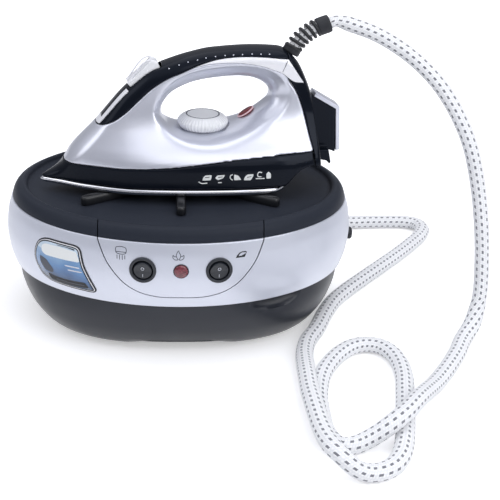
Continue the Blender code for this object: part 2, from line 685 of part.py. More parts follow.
def build_boiler(finishes, lid, ring):
    steel, brass, plastic = finishes["steel"], finishes["brass"], finishes["switch"]
    centre = (0, TANK_Y, 0)
    arc = [(math.sin(math.pi / 6 * step), math.cos(math.pi / 6 * step)) for step in range(4)]
    flat = TANK_RADIUS - TANK_CORNER
    outer = [(flat + TANK_CORNER * s, TANK_BOTTOM + TANK_CORNER * (1 - c)) for s, c in arc]
    outer += [(flat + TANK_CORNER * s, TANK_TOP - TANK_CORNER * (1 - c)) for s, c in reversed(arc)]
    hollow = TANK_CORNER - TANK_WALL
    inner = [(flat + hollow * s, TANK_BOTTOM + TANK_WALL + hollow * (1 - c)) for s, c in arc]
    inner += [(flat + hollow * s, TANK_TOP - TANK_WALL - hollow * (1 - c)) for s, c in reversed(arc)]
    tank = turned("boiler_tank", outer, centre, (0, 0, 1), steel, count=40)
    cut(tank, turned("tank_space", inner, centre, (0, 0, 1), count=40))
    neck_at = (0, NECK_Y, 0)
    cut(tank, turned("neck_tool", ((NECK_BORE, TANK_TOP - OVERRUN), (NECK_BORE, TANK_TOP + OVERRUN)),
                     neck_at, (0, 0, 1)))

    floor = TUB_BOTTOM + TUB_WALL + GAP
    cradle = ((CRADLE_OUTER, floor), (CRADLE_OUTER, TANK_BOTTOM - GAP), (CRADLE_INNER, TANK_BOTTOM - GAP),
              (CRADLE_INNER, floor))
    cradle = turned("boiler_cradle", cradle, centre, (0, 0, 1), steel, closed=True, count=40)
    cut(cradle, prism("arch_tool", ((-ARCH_HALF_WIDTH, 0), (ARCH_HALF_WIDTH, 0),
                                    (ARCH_HALF_WIDTH, floor + ARCH_RISE),
                                    (-ARCH_HALF_WIDTH, floor + ARCH_RISE)),
                      -BASE_HALF_DEPTH, 0))
    heater = ((HEATER_RADIUS, TANK_BOTTOM - GAP - HEATER_THICKNESS), (HEATER_RADIUS, TANK_BOTTOM - GAP))
    turned("boiler_heater", heater, centre, (0, 0, 1), finishes["casting"], count=40)

    deck = RIM_TOP - DECK_RECESS
    neck_top = deck + NECK_PROUD
    neck = ((NECK_RADIUS, TANK_TOP + GAP), (NECK_RADIUS, neck_top), (NECK_BORE, neck_top),
            (NECK_BORE, TANK_TOP + GAP))
    turned("filler_neck", neck, neck_at, (0, 0, 1), brass, closed=True)
    cut(lid, turned("deck_tool", ((NECK_RADIUS + 2 * GAP, deck - OVERRUN),
                                  (NECK_RADIUS + 2 * GAP, deck + OVERRUN)),
                    neck_at, (0, 0, 1)))
    seal_low = neck_top + GAP
    seal_high = seal_low + SEAL_THICKNESS
    turned("filler_seal", ((NECK_RADIUS, seal_low), (NECK_RADIUS, seal_high),
                           (CAP_PLUG_RADIUS + GAP, seal_high), (CAP_PLUG_RADIUS + GAP, seal_low)),
           neck_at, (0, 0, 1), finishes["rubber"], closed=True)
    filler_cap(neck_at, seal_high + GAP, finishes["cover"])

    steam_valve(finishes)
    turned("pressure_switch", ((SWITCH_RADIUS, TANK_TOP + GAP),
                               (SWITCH_RADIUS, TANK_TOP + SWITCH_HEIGHT)),
           (-VALVE_X, TANK_Y, 0), (0, 0, 1), plastic, count=24)
    glands(ring, finishes)


def filler_cap(at, seat, material):
    """The screw cap: a fluted knob over the neck with a plug inside it."""
    count = CAP_GRIPS * 4
    levels = ((CAP_PLUG_RADIUS, seat - CAP_PLUG_LENGTH, 0), (CAP_PLUG_RADIUS, seat, 0),
              (CAP_RADIUS, seat, 1),
              (CAP_RADIUS, seat + CAP_HEIGHT * 0.75, 1), (CAP_RADIUS * 0.94, seat + CAP_HEIGHT * 0.95, 1),
              (CAP_RADIUS * 0.84, seat + CAP_HEIGHT, 0))
    rings = []
    for radius, z, fluted in levels:
        ring = []
        for index in range(count):
            angle = 2 * math.pi * index / count
            wave = 1 - fluted * (1 - CAP_GRIP_share) * (0.5 - 0.5 * math.cos(CAP_GRIPS * angle))
            ring.append(Vector((at[0] + radius * wave * math.cos(angle),
                                at[1] + radius * wave * math.sin(angle), z)))
        rings.append(ring)
    knob = loft("filler_cap", rings, material)
    pivot(knob, (at[0], at[1], seat))


def steam_valve(finishes):
    """The valve on the tank: body, coil, plunger and the spring that closes it."""
    at = (VALVE_X, TANK_Y, 0)
    body_low = TANK_TOP + GAP
    body_high = body_low + VALVE_HEIGHT
    turned("steam_valve_body", ((VALVE_RADIUS, body_low), (VALVE_RADIUS, body_high)), at, (0, 0, 1),
           finishes["brass"], count=24)
    coil_low = body_high + GAP
    coil_high = coil_low + COIL_HEIGHT
    roof = coil_high - COIL_ROOF
    coil = turned("valve_coil", ((COIL_RADIUS, coil_low), (COIL_RADIUS, coil_high)), at, (0, 0, 1),
                  finishes["copper"], count=24)
    cut(coil, turned("coil_tool", ((COIL_BORE, coil_low - OVERRUN), (COIL_BORE, roof)), at, (0, 0, 1),
                     count=24))
    top = coil_low + PLUNGER_LENGTH
    plunger = turned("valve_plunger", ((PLUNGER_RADIUS, coil_low), (PLUNGER_RADIUS, top)), at, (0, 0, 1),
                     finishes["steel"], count=24)
    pivot(plunger, (at[0], at[1], coil_low))
    spring("valve_spring", (VALVE_X, TANK_Y, top + GAP + SPRING_WIRE),
           (VALVE_X, TANK_Y, roof - GAP - SPRING_WIRE),
           PLUNGER_RADIUS - 2 * SPRING_WIRE, finishes["steel"])
    start = Vector((VALVE_X, TANK_Y + VALVE_RADIUS + GAP, body_low + VALVE_HEIGHT / 2))
    end, normal = band_place(GLAND_ANGLE, GLAND_Z, -BAND_WALL - GLAND_SEAT - GAP)
    level = start.z
    route = (start, start + Vector((0, VALVE_RADIUS, 0)),
             Vector((start.x / 3, TANK_Y + TANK_RADIUS / 2, level)),
             end - normal * 3 * OVERRUN + Vector((0, 0, level - end.z)), end - normal * OVERRUN / 2, end)
    pipe("steam_pipe", smooth_line(route, OVERRUN / 2), PIPE_RADIUS, finishes["copper"])


def spring(name, low, high, radius, material, turns=4, parent=None):
    """A coil spring between two points, as one tube."""
    low, high = Vector(low), Vector(high)
    turn = (high - low).to_track_quat("Z", "Y").to_matrix()
    count = turns * 9
    points = []
    for index in range(count + 1):
        angle = 2 * math.pi * turns * index / count
        across = turn @ Vector((radius * math.cos(angle), radius * math.sin(angle), 0))
        points.append(low + (high - low) * index / count + across)
    return sweep(name, points, [SPRING_WIRE] * len(points), 5, material, parent)


def smooth_line(points, step):
    """Points about a step apart on a smooth curve through the given points."""
    points = [Vector(point) for point in points]
    spans = [(after - here).length for here, after in zip(points, points[1:])]
    runs = [(points[1] - points[0]) / spans[0]]
    for index in range(1, len(points) - 1):
        before = (points[index] - points[index - 1]) / spans[index - 1]
        after = (points[index + 1] - points[index]) / spans[index]
        runs.append((before * spans[index] + after * spans[index - 1]) / (spans[index]
                                                                          + spans[index - 1]))
    runs.append((points[-1] - points[-2]) / spans[-1])
    out = []
    for index, span in enumerate(spans):
        count = max(1, round(span / step))
        for part in range(count):
            t = part / count
            out.append(
                points[index] * (1 + 2 * t) * (1 - t) ** 2
                + runs[index] * span * t * (1 - t) ** 2
                + points[index + 1] * t**2 * (3 - 2 * t)
                + runs[index + 1] * span * t**2 * (t - 1)
            )
    return out + [points[-1]]


def evenly(points, step):
    """Points at even steps along a line of many points, with both its ends kept."""
    count = max(2, round(sum((b - a).length for a, b in zip(points, points[1:])) / step))
    return [along_line(points, index / count)[0] for index in range(count + 1)]


def along_line(points, share):
    """The point and the direction at a share of a line's length."""
    lengths = [(b - a).length for a, b in zip(points, points[1:])]
    left = share * sum(lengths)
    for index, length in enumerate(lengths):
        if left <= length or index == len(lengths) - 1:
            run = (points[index + 1] - points[index]).normalized()
            return points[index] + run * min(left, length), run
        left -= length


def sweep(name, points, radii, sides, material, parent=None):
    """A tube through points, with its rings carried along without twist."""
    rings = []
    side = None
    for index, point in enumerate(points):
        run = (points[min(index + 1, len(points) - 1)] - points[max(index - 1, 0)]).normalized()
        side = run.orthogonal() if side is None else side - run * side.dot(run)
        side.normalize()
        other = run.cross(side)
        ring = []
        for part in range(sides):
            angle = 2 * math.pi * part / sides
            ring.append(point + (side * math.cos(angle) + other * math.sin(angle)) * radii[index])
        rings.append(ring)
    return loft(name, rings, material, parent)


def pipe(name, points, radius, material, radii=None):
    """A curve with a round bevel and closed ends."""
    data = bpy.data.curves.new(name, "CURVE")
    data.dimensions = "3D"
    data.bevel_depth = radius
    data.bevel_resolution = 2
    data.use_fill_caps = True
    data.render_resolution_u = 0
    line = data.splines.new("POLY")
    line.points.add(len(points) - 1)
    for index, point in enumerate(points):
        line.points[index].co = (*point, 1)
        line.points[index].radius = radii[index] if radii else 1
    data.materials.append(material)
    item = bpy.data.objects.new(name, data)
    bpy.context.scene.collection.objects.link(item)
    return item


def glands(ring, finishes):
    """The hose gland and the mains inlet at the back, and the hose clip at the side."""
    place, normal = band_place(GLAND_ANGLE, GLAND_Z)
    cut(ring, turned("gland_tool", ((GLAND_RADIUS + GAP, -OVERRUN), (GLAND_RADIUS + GAP, OVERRUN)),
                     place, normal))
    turned("hose_gland", ((GLAND_RADIUS, -BAND_WALL - GLAND_SEAT), (GLAND_RADIUS, GLAND_SEAT),
                          (GLAND_NOSE_RADIUS, GLAND_LENGTH)), place, normal, finishes["rubber"])
    place, normal = band_place(MAINS_ANGLE, GLAND_Z)
    cut(ring, turned("mains_tool", ((MAINS_RADIUS + GAP, -OVERRUN), (MAINS_RADIUS + GAP, OVERRUN)),
                     place, normal))
    turned("mains_inlet", ((MAINS_RADIUS, -BAND_WALL - GLAND_SEAT), (MAINS_RADIUS, MAINS_LENGTH * 0.7),
                           (MAINS_RADIUS * 0.8, MAINS_LENGTH)), place, normal, finishes["rubber"])
    place, normal = band_place(CLIP_ANGLE, CLIP_Z)
    cut(ring, turned("clip_tool", ((CLIP_RADIUS + GAP, -OVERRUN), (CLIP_RADIUS + GAP, OVERRUN)), place,
                     normal))
    turned("hose_clip", ((CLIP_RADIUS, -BAND_WALL), (CLIP_RADIUS, CLIP_LENGTH * 0.6),
                         (CLIP_RADIUS * 0.8, CLIP_LENGTH * 0.9),
                         (CLIP_RADIUS * 0.4, CLIP_LENGTH)), place, normal, finishes["rubber"], count=24)


def iron_x(share):
    return IRON_TIP + share * IRON_LENGTH


def iron_line(shares):
    """An outline of the iron in its own X and Z."""
    return [(iron_x(x), z * IRON_HEIGHT) for x, z in shares]


def half_width(share, z):
    """Half the iron body's width at a share of its length and a height."""
    wide = BODY_HALF_WIDTH * steady(plan_shares, share)
    narrow = min(HANDLE_HALF_WIDTH, NOSE_share * wide)
    return narrow + (wide - narrow) * steady(flank_shares, z / IRON_HEIGHT)


def hull_section(share, inset=0.0, roof=None):
    """The iron body's outline across its length, open to the soleplate below."""
    top = steady(top_shares, share) * IRON_HEIGHT if roof is None else roof
    crown = min(HANDLE_CROWN, top / 2) if roof is None else CAVITY_CROWN * roof / CAVITY_ROOF
    heights = [(top - crown) * step / 9 for step in range(10)]
    side = [(max(half_width(share, z) - inset, GAP), z) for z in heights]
    edge = side[-1][0]
    for step in range(1, 6):
        turn = math.pi / 2 * step / 6
        width = half_width(share, top - crown + crown * math.sin(turn)) if roof is None else edge
        side.append((max(width - inset, GAP) * math.cos(turn) ** 0.8,
                     top - crown + crown * math.sin(turn)))
    x = iron_x(share)
    left = [Vector((x, -width, z)) for width, z in side]
    right = [Vector((x, width, z)) for width, z in reversed(side)]
    return left + [Vector((x, 0, top))] + right


def hull(name, parent, material=None):
    return loft(name, [hull_section(share) for share in section_shares], material, parent)


def cavity(name, parent, first, last, wall):
    """The room inside the iron's lower body, open below."""
    rings = []
    for share in section_shares:
        if first <= share <= last:
            roof = min(CAVITY_ROOF, 0.62 * steady(top_shares, share) * IRON_HEIGHT)
            rings.append([Vector((p.x, p.y, p.z if p.z > 0 else -OVERRUN)) for p in hull_section(share,
                                                                                                 wall,
                                                                                                 roof)])
    return loft(name, rings, None, parent)


def finger_hole(name, parent):
    """The grip's opening, tight at its middle and flared out to the body's own surface."""
    rings = []
    for side, open_share in flare_shares:
        ring = []
        for (x0, z0), (x1, z1) in zip(hole_inner_shares, hole_outer_shares):
            x = x0 + (x1 - x0) * open_share
            z = z0 + (z1 - z0) * open_share
            reach = half_width(x1, z1 * IRON_HEIGHT)
            ring.append(Vector((iron_x(x), side * reach, z * IRON_HEIGHT)))
        rings.append(ring)
    return loft(name, rings, None, parent)


def wide_prism(name, outline, parent):
    reach = BODY_HALF_WIDTH + OVERRUN
    return prism(name, outline, -reach, reach, None, parent)


def soleplate(parent, material):
    """The sole: a pointed plate with a rounded edge."""
    rings = []
    for shrink, z in ((0.975, 0), (0.995, SOLE_THICKNESS * 0.2), (1, SOLE_THICKNESS * 0.5),
                      (0.995, SOLE_THICKNESS * 0.85), (0.98, SOLE_THICKNESS)):
        rings.append(sole_ring(shrink, z))
    return loft("soleplate", rings, material, parent)


def sole_ring(shrink, z):
    middle = IRON_TIP + SOLE_LENGTH * 0.55
    right = []
    for x, y in sole_shares[1:-1]:
        place = IRON_TIP + x * SOLE_LENGTH
        right.append(Vector((middle + (place - middle) * shrink, y * SOLE_HALF_WIDTH * shrink, z)))
    tip = Vector((middle + (IRON_TIP - middle) * shrink, 0, z))
    left = [Vector((p.x, -p.y, p.z)) for p in reversed(right)]
    return [tip] + right + left


def build_iron(frame, finishes):
    silver, black = finishes["silver"], finishes["gloss"]
    soleplate(frame, finishes["chrome"])
    block_low = SOLE_THICKNESS + GAP
    rings = [sole_ring(HEATER_share, block_low), sole_ring(HEATER_share,
                                                           block_low + HEATER_BLOCK_HEIGHT * 0.6),
             sole_ring(HEATER_share * 0.93, block_low + HEATER_BLOCK_HEIGHT)]
    loft("steam_chamber", rings, finishes["casting"], frame)

    seam = iron_line(seam_shares)
    arch = iron_line(arch_shares)
    arch = [(x, max(z, SOLE_THICKNESS + GAP)) for x, z in arch]
    skirt = hull("skirt", frame, black)
    cut(skirt, wide_prism("skirt_region", arch + list(reversed(offset(seam, -GAP / 2))), frame),
        "INTERSECT")
    cut(skirt, cavity("skirt_space", frame, 0.06, 0.8, SHELL_WALL))

    edge = iron_line(rear_edge_shares)
    grip = iron_line(grip_shares)
    low = offset(seam, GAP / 2)
    low[-1] = (low[-1][0] - GAP, low[-1][1])
    rear = [place for place in offset(list(reversed(edge)),
                                      GAP / 2) if low[-1][1] < place[1] < grip[-1][1]]
    region = low + rear + offset(list(reversed(grip)), GAP / 2) + [(IRON_TIP - OVERRUN, grip[0][1])]
    body = hull("body_shell", frame, silver)
    cut(body, wide_prism("body_region", region, frame), "INTERSECT")
    cut(body, finger_hole("finger_hole_tool", frame))
    cut(body, cavity("body_space", frame, 0.14, 0.84, SHELL_WALL))

    top = IRON_HEIGHT + OVERRUN
    grip_low = offset(grip, GAP / 2)
    region = grip_low + [(grip_low[-1][0], top), (grip_low[0][0], top)]
    handle = hull("handle_grip", frame, black)
    cut(handle, wide_prism("grip_region", region, frame), "INTERSECT")

    back = [(x, z) for x, z in offset(edge, GAP / 2)]
    heel_end = iron_x(0.939) + OVERRUN
    region = [(back[0][0], top), *back, (heel_end, back[-1][1]), (heel_end, top)]
    cover_rear = hull("rear_cover", frame, black)
    cut(cover_rear, wide_prism("cover_region", region, frame), "INTERSECT")
    heel = prism("heel_block_tool", iron_line(heel_shares), -HEEL_HALF_WIDTH, HEEL_HALF_WIDTH, None,
                 frame)
    cut(cover_rear, heel, "UNION")
    toe = prism("heel_toe_tool", iron_line(toe_shares), -TOE_HALF_WIDTH, TOE_HALF_WIDTH, None, frame)
    cut(cover_rear, toe, "UNION")
    cut(cover_rear, finger_hole("rear_finger_tool", frame))
    plate = iron_line(heel_plate_shares)
    plate = offset(plate, GAP) + list(reversed(offset(plate, GAP + HEEL_PLATE_THICKNESS)))
    prism("heel_plate", plate, -HEEL_PLATE_HALF_WIDTH, HEEL_PLATE_HALF_WIDTH, silver, frame)

    inserts(frame, finishes["pearl"], body, cover_rear, handle, grip)
    dial(frame, body, finishes)
    lens(frame, body, finishes["lens"])
    steam_button(frame, body, handle, finishes)
    return handle, cover_rear


def inserts(frame, material, body, rear, handle, grip):
    """The pearl inserts in both flanks of the handle, under the grip."""
    upper = [point for point in grip if point[0] > iron_x(0.5)]
    outline = upper + list(reversed(iron_line(insert_low_shares)))
    for name, side in (("near", -1), ("far", 1)):
        for kind, grow in (("tool", GAP / 2), ("piece", -GAP / 2)):
            line = grown(outline, grow)
            inner = side * (HANDLE_HALF_WIDTH - INSERT_DEPTH - grow)
            outer = side * (HANDLE_HALF_WIDTH + OVERRUN)
            tool = prism(f"insert_{name}_{kind}", line, inner, outer, None, frame)
            if kind == "tool":
                for item in (body, rear):
                    cut(item, tool)
            else:
                insert = hull(f"handle_insert_{name}", frame, material)
                cut(insert, tool, "INTERSECT")


def dial(frame, body, finishes):
    """The heat dial in the saddle, its shaft and the thermostat under it."""
    at = (DIAL_X, 0, 0)
    cut(body, turned("dial_tool", ((DIAL_RADIUS + 2 * GAP, DIAL_FLOOR - GAP),
                                   (DIAL_RADIUS + 2 * GAP, IRON_HEIGHT / 1.7)),
                     at, (0, 0, 1), None, frame, count=40))
    count = DIAL_GRIPS * 3
    rings = []
    for radius, height, fluted in ((DIAL_RADIUS * 0.93, 0, 1), (DIAL_RADIUS, 0.15, 1),
                                   (DIAL_RADIUS * 0.99, 0.5, 1),
                                   (DIAL_RADIUS * 0.86, 0.82, 1), (DIAL_TOP_RADIUS, 0.97, 0),
                                   (DIAL_TOP_RADIUS * 0.9, 1, 0)):
        ring = []
        for index in range(count):
            angle = 2 * math.pi * index / count
            wave = 1 - fluted * (1 - DIAL_GRIP_share) * (0.5 - 0.5 * math.cos(DIAL_GRIPS * angle))
            ring.append(Vector((DIAL_X + radius * wave * math.cos(angle), radius * wave * math.sin(angle),
                                DIAL_FLOOR + height * DIAL_HEIGHT)))
        rings.append(ring)
    knob = loft("heat_dial", rings, finishes["clear"], frame)
    pivot(knob, (DIAL_X, 0, DIAL_FLOOR))
    low = SOLE_THICKNESS + HEATER_BLOCK_HEIGHT + 2 * GAP
    high = low + THERMOSTAT_HEIGHT
    turned("thermostat", ((THERMOSTAT_RADIUS, low), (THERMOSTAT_RADIUS, high)), at, (0, 0, 1),
           finishes["casting"],
           frame, count=24)
    shaft = turned("dial_shaft", ((SHAFT_RADIUS, high + GAP), (SHAFT_RADIUS, DIAL_FLOOR - GAP)), at,
                   (0, 0, 1),
                   finishes["steel"], frame, count=16)
    pivot(shaft, (DIAL_X, 0, high + GAP))
    cut(body, turned("shaft_tool", ((SHAFT_RADIUS + GAP, CAVITY_ROOF - OVERRUN),
                                    (SHAFT_RADIUS + GAP, DIAL_FLOOR + OVERRUN)),
                     at, (0, 0, 1), None, frame, count=16))


def lens(frame, body, material):
    """The heating lamp's lens on the slope behind the dial."""
    turn = Matrix.Rotation(-LENS_TILT, 3, "Y")
    place = Vector((LENS_X, 0, LENS_Z))

    def oval(grow, height):
        ring = []
        for index in range(24):
            angle = 2 * math.pi * index / 24
            point = Vector(((LENS_HALF_LENGTH + grow) * math.cos(angle),
                            (LENS_HALF_WIDTH + grow) * math.sin(angle), height))
            ring.append(place + turn @ point)
        return ring

    cut(body, loft("lens_tool", [oval(GAP, -LENS_DEPTH - GAP), oval(GAP, OVERRUN)], None, frame))
    loft("heating_lamp", [oval(0, -LENS_DEPTH), oval(0, 0), oval(-LENS_DOME * 0.5, LENS_DOME * 0.7),
                          oval(-LENS_DOME * 1.6, LENS_DOME)], material, frame)


def steam_button(frame, body, handle, finishes):
    """The trigger on the front slope, the switch under it and the trim strip below."""
    floor_line, button_line = iron_line(button_well_shares), iron_line(button_shares)
    well = prism("button_well_tool", floor_line, -BUTTON_HALF_WIDTH - 2 * GAP,
                 BUTTON_HALF_WIDTH + 2 * GAP,
                 None, frame)
    for item in (handle, body):
        cut(item, well)
    button = prism("steam_button", button_line, -BUTTON_HALF_WIDTH, BUTTON_HALF_WIDTH, finishes["clear"],
                   frame)
    pivot(button, (BUTTON_PIVOT[0], 0, BUTTON_PIVOT[1]))

    floor_a, floor_b = (Vector((x, 0, z)) for x, z in floor_line[1:3])
    under_a, under_b = (Vector((x, 0, z)) for x, z in button_line[1:3])
    slope = (floor_b - floor_a).normalized()
    inward = Vector((slope.z, 0, -slope.x))
    spot = floor_a + (floor_b - floor_a) * TAPPET_share
    length, width, depth = SWITCH_BOX
    corners = []
    for out in (-GAP, -GAP - depth):
        for run, side in ((-1, -1), (1, -1), (1, 1), (-1, 1)):
            corners.append(spot - inward * out + slope * run * length / 2 + Vector((0, side * width / 2,
                                                                                    0)))
    micro = loft("steam_switch", [corners[:4], corners[4:]], finishes["switch"], frame)
    pocket_rings = []
    for out, ring in ((OVERRUN, corners[:4]), (-2 * GAP, corners[4:])):
        middle = sum(ring, Vector()) / 4
        pocket_rings.append([middle + (corner - middle) * (1 + 4 * GAP / width) - inward * out
                             for corner in ring])
    pocket = loft("switch_pocket_tool", pocket_rings, None, frame)
    for item in (handle, body):
        cut(item, pocket)
    start = spot - inward * GAP
    reach = (under_a + (under_b - under_a) * TAPPET_share - spot).dot(-inward)
    tappet = turned("switch_tappet", ((TAPPET_RADIUS, -TAPPET_LENGTH), (TAPPET_RADIUS, reach - 3 * GAP)),
                    start, -inward,
                    finishes["switch"], frame, count=16)
    cut(micro, turned("tappet_tool", ((TAPPET_RADIUS + GAP, -TAPPET_LENGTH * 1.8),
                                      (TAPPET_RADIUS + GAP, OVERRUN)), start,
                      -inward, None, frame, count=16))
    pivot(tappet, start)

    strip = hull("nose_strip", frame, finishes["chrome"])
    cut(strip, strip_tool("strip_tool", frame, -GAP / 2), "INTERSECT")
    cut(handle, strip_tool("strip_space", frame, GAP / 2))


def strip_tool(name, frame, grow):
    """The space of the trim round the slope's front: a U, open towards the button."""
    reach = STRIP_HALF_WIDTH + grow
    tool = prism(name, grown(iron_line(strip_shares), grow), -reach, reach, None, frame)
    reach = STRIP_INNER - grow
    low = (STRIP_FRONT + grow, -reach, DIAL_FLOOR)
    cut(tool, box(name + "_inside", low, (BUTTON_PIVOT[0] + OVERRUN, reach, IRON_HEIGHT), None, frame))
    return tool


def relief_line(step):
    return smooth_line([Vector((x, 0, z)) for x, z in iron_line(relief_shares)], step)


def strain_relief(frame, handle, rear, material):
    """The bend guard: one open coil between a foot in the handle and an end collar."""
    line = relief_line(RELIEF_COIL_RADIUS)
    rings = {}
    for name, first, last in (("relief_foot_tool", 0.0, RELIEF_BASE_share),
                              ("relief_collar_tool", RELIEF_COLLAR_share, 1.0)):
        outer, inner = [], []
        for step in range(4):
            point, run = along_line(line, first + (last - first) * step / 3)
            side = Vector((0, 1, 0))
            other = run.cross(side)
            for radius, store in ((RELIEF_OUTER, outer), (RELIEF_BORE, inner)):
                store.append([point + (side * math.cos(2 * math.pi * part / 20) + other
                                       * math.sin(2 * math.pi * part / 20))
                              * radius for part in range(20)])
        rings[name] = outer + list(reversed(inner))
    count = RELIEF_TURNS * RELIEF_TURN_POINTS
    points = []
    for index in range(count + 1):
        share = RELIEF_BASE_share * 0.6 + (RELIEF_COLLAR_share * 1.04 - RELIEF_BASE_share
                                           * 0.6) * index / count
        point, run = along_line(line, share)
        side = Vector((0, 1, 0))
        other = run.cross(side)
        angle = 2 * math.pi * RELIEF_TURNS * index / count
        points.append(point + (side * math.cos(angle) + other * math.sin(angle)) * RELIEF_COIL_RADIUS)
    least = min((points[a] - points[b]).length for a in range(len(points))
                for b in range(a + RELIEF_TURN_POINTS // 2, len(points)))
    print(f"strain relief: least gap between turns {(least - 2 * RELIEF_WIRE_RADIUS) / mm:.2f} mm")
    guard = sweep("strain_relief", points, [RELIEF_WIRE_RADIUS] * len(points), 6, material, frame)
    for name, ring in rings.items():
        cut(guard, loft(name, ring, None, frame, closed=True), "UNION")
    space = sweep("relief_space", [line[0] - (line[1] - line[0]).normalized() * OVERRUN / 2, *line[:4]],
                  [RELIEF_OUTER + 3 * GAP] * 5, 20, None, frame)
    for item in (handle, rear):
        cut(item, space)


def hose(frame_matrix, material):
    """The steam hose in two lengths, parted where it hangs upright beside the base."""
    inner = [frame_matrix @ point for point in relief_line(RELIEF_COIL_RADIUS)]
    out = (inner[-1] - inner[-2]).normalized()
    place, normal = band_place(GLAND_ANGLE, GLAND_Z)
    end = place + normal * (GLAND_LENGTH + GAP)
    points = [Vector(point) * mm for point in hose_points]
    start = inner[-1] + out * 2 * GAP
    route = smooth_line([start, start + out * HOSE_STUB, *points, end + normal * 2 * HOSE_RADIUS, end],
                        HOSE_FINE)
    for point in route:
        point.z = max(point.z, HOSE_RADIUS)
    split = next(index for index, point in enumerate(route)
                 if point.z < HOSE_SPLIT and point.x > BASE_HALF_LENGTH)
    join = route[split]
    run = (route[split + 1] - route[split - 1]).normalized()
    stub = out * HOSE_STUB
    first = evenly([point for point in route[:split - 3] if (point - start).length > 2 * HOSE_STUB],
                   HOSE_STEP)
    first = [start, start + stub, *first]
    upper = [*inner, *first, join - run * GAP / 2]
    radii = [HOSE_CORE_RADIUS / HOSE_RADIUS] * len(inner) + [1] * (len(first) + 1)
    pipe("hose_upper", upper, HOSE_RADIUS, material, radii)
    last = [point for point in route[split + 4:] if (point - end).length > 2 * HOSE_RADIUS + HOSE_STUB]
    lower = [join + run * GAP / 2, *evenly(last, HOSE_STEP), end + normal * HOSE_RADIUS, end]
    pipe("hose_lower", lower, HOSE_RADIUS, material)
    length = sum((b - a).length for a, b in zip(inner, inner[1:]))
    length += sum((b - a).length for a, b in zip(route, route[1:]))
    print(f"hose: {length:.3f} m long, {len(upper)} and {len(lower)} points")


def main():
    clear_scene()
    finishes = {
        "silver": finish("silver_paint", (0.56, 0.58, 0.64), 0.3, 0.6),
        "cover": finish("satin_black", (0.042, 0.05, 0.062), 0.45),
        "tub": finish("deep_black", (0.025, 0.027, 0.032), 0.3),
        "gloss": finish("gloss_black", (0.012, 0.014, 0.02), 0.2),
        "rubber": finish("grey_rubber", (0.05, 0.05, 0.055), 0.7),
        "switch": finish("switch_black", (0.015, 0.015, 0.017), 0.35),
        "lamp": finish("dark_red", (0.2, 0.02, 0.03), 0.2),
        "lens": finish("bright_red", (0.45, 0.015, 0.025), 0.2),
        "badge": finish("badge_blue", (0.1, 0.25, 0.48), 0.3),
        "steel": finish("stainless_steel", (0.6, 0.6, 0.6), 0.3, 1),
        "chrome": finish("bright_steel", (0.75, 0.75, 0.77), 0.12, 1),
        "brass": finish("brass", (0.7, 0.5, 0.2), 0.3, 1),
        "copper": finish("copper", (0.75, 0.36, 0.22), 0.35, 1),
        "casting": finish("cast_aluminium", (0.45, 0.45, 0.46), 0.6, 1),
        "pearl": finish("pearl_insert", (0.7, 0.71, 0.75), 0.3, 0.2),
        "clear": finish("clear_plastic", (0.62, 0.65, 0.7), 0.15),
        "braid": finish("white_braid", (0.8, 0.8, 0.8), 0.9),
    }
    lid, ring = build_base(finishes)
    build_boiler(finishes, lid, ring)
    frame = bpy.data.objects.new("iron_frame", None)
    bpy.context.scene.collection.objects.link(frame)
    sole = RIM_TOP - DECK_RECESS + RIB_HEIGHT + 2 * GAP
    frame.location = (0, IRON_Y, sole)
    frame.rotation_euler = (0, 0, IRON_YAW)
    handle, rear = build_iron(frame, finishes)
    strain_relief(frame, handle, rear, finishes["gloss"])
    bpy.context.view_layer.update()
    hose(frame.matrix_world, finishes["braid"])


main()
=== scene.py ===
import math

import bpy
import numpy as np
from mathutils import Matrix, Vector


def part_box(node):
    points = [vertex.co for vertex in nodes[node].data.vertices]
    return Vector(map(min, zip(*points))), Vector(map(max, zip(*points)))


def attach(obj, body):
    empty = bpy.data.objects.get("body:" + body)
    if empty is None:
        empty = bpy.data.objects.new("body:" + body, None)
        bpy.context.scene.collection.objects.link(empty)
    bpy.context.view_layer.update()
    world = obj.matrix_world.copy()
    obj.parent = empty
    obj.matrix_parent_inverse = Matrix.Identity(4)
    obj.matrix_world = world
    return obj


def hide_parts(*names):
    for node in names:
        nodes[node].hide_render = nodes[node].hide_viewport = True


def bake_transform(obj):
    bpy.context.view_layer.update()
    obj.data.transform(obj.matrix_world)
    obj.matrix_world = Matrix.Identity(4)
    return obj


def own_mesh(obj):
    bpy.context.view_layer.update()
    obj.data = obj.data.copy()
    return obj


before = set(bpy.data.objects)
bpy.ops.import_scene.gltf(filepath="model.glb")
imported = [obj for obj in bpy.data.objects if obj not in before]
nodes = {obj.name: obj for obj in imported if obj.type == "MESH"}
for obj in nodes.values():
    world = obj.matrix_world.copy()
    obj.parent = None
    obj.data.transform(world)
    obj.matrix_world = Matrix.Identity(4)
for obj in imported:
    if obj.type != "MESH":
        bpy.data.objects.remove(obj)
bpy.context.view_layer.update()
mm = 0.001
degree = math.pi / 180


# working helpers
def deselectAll():
    if bpy.context.object and bpy.context.object.mode != "OBJECT":
        bpy.ops.object.mode_set(mode="OBJECT")
    bpy.ops.object.select_all(action="DESELECT")


def pick(*pieces):
    deselectAll()
    for piece in pieces:
        piece.select_set(True)
    bpy.context.view_layer.objects.active = pieces[0]


def sweep(start, end, count):  # even steps from start to end, with both of them
    return [start + (end - start) * step / count for step in range(count + 1)]


def circle(count):  # cosine and sine at even steps right round
    return [(math.cos(angle), math.sin(angle)) for angle in sweep(0, 2 * math.pi, count)[:-1]]


def hoop(middle, side, other, radius, count):  # a circle of points across two directions
    return [middle + (side * c + other * s) * radius for c, s in circle(count)]


def eased(a, b, runA, runB, t):  # on the way from a to b, which starts and ends at these rates
    return (a * (1 + 2 * t) * (1 - t) ** 2 + runA * t * (1 - t) ** 2
            + b * t * t * (3 - 2 * t) + runB * t * t * (t - 1))


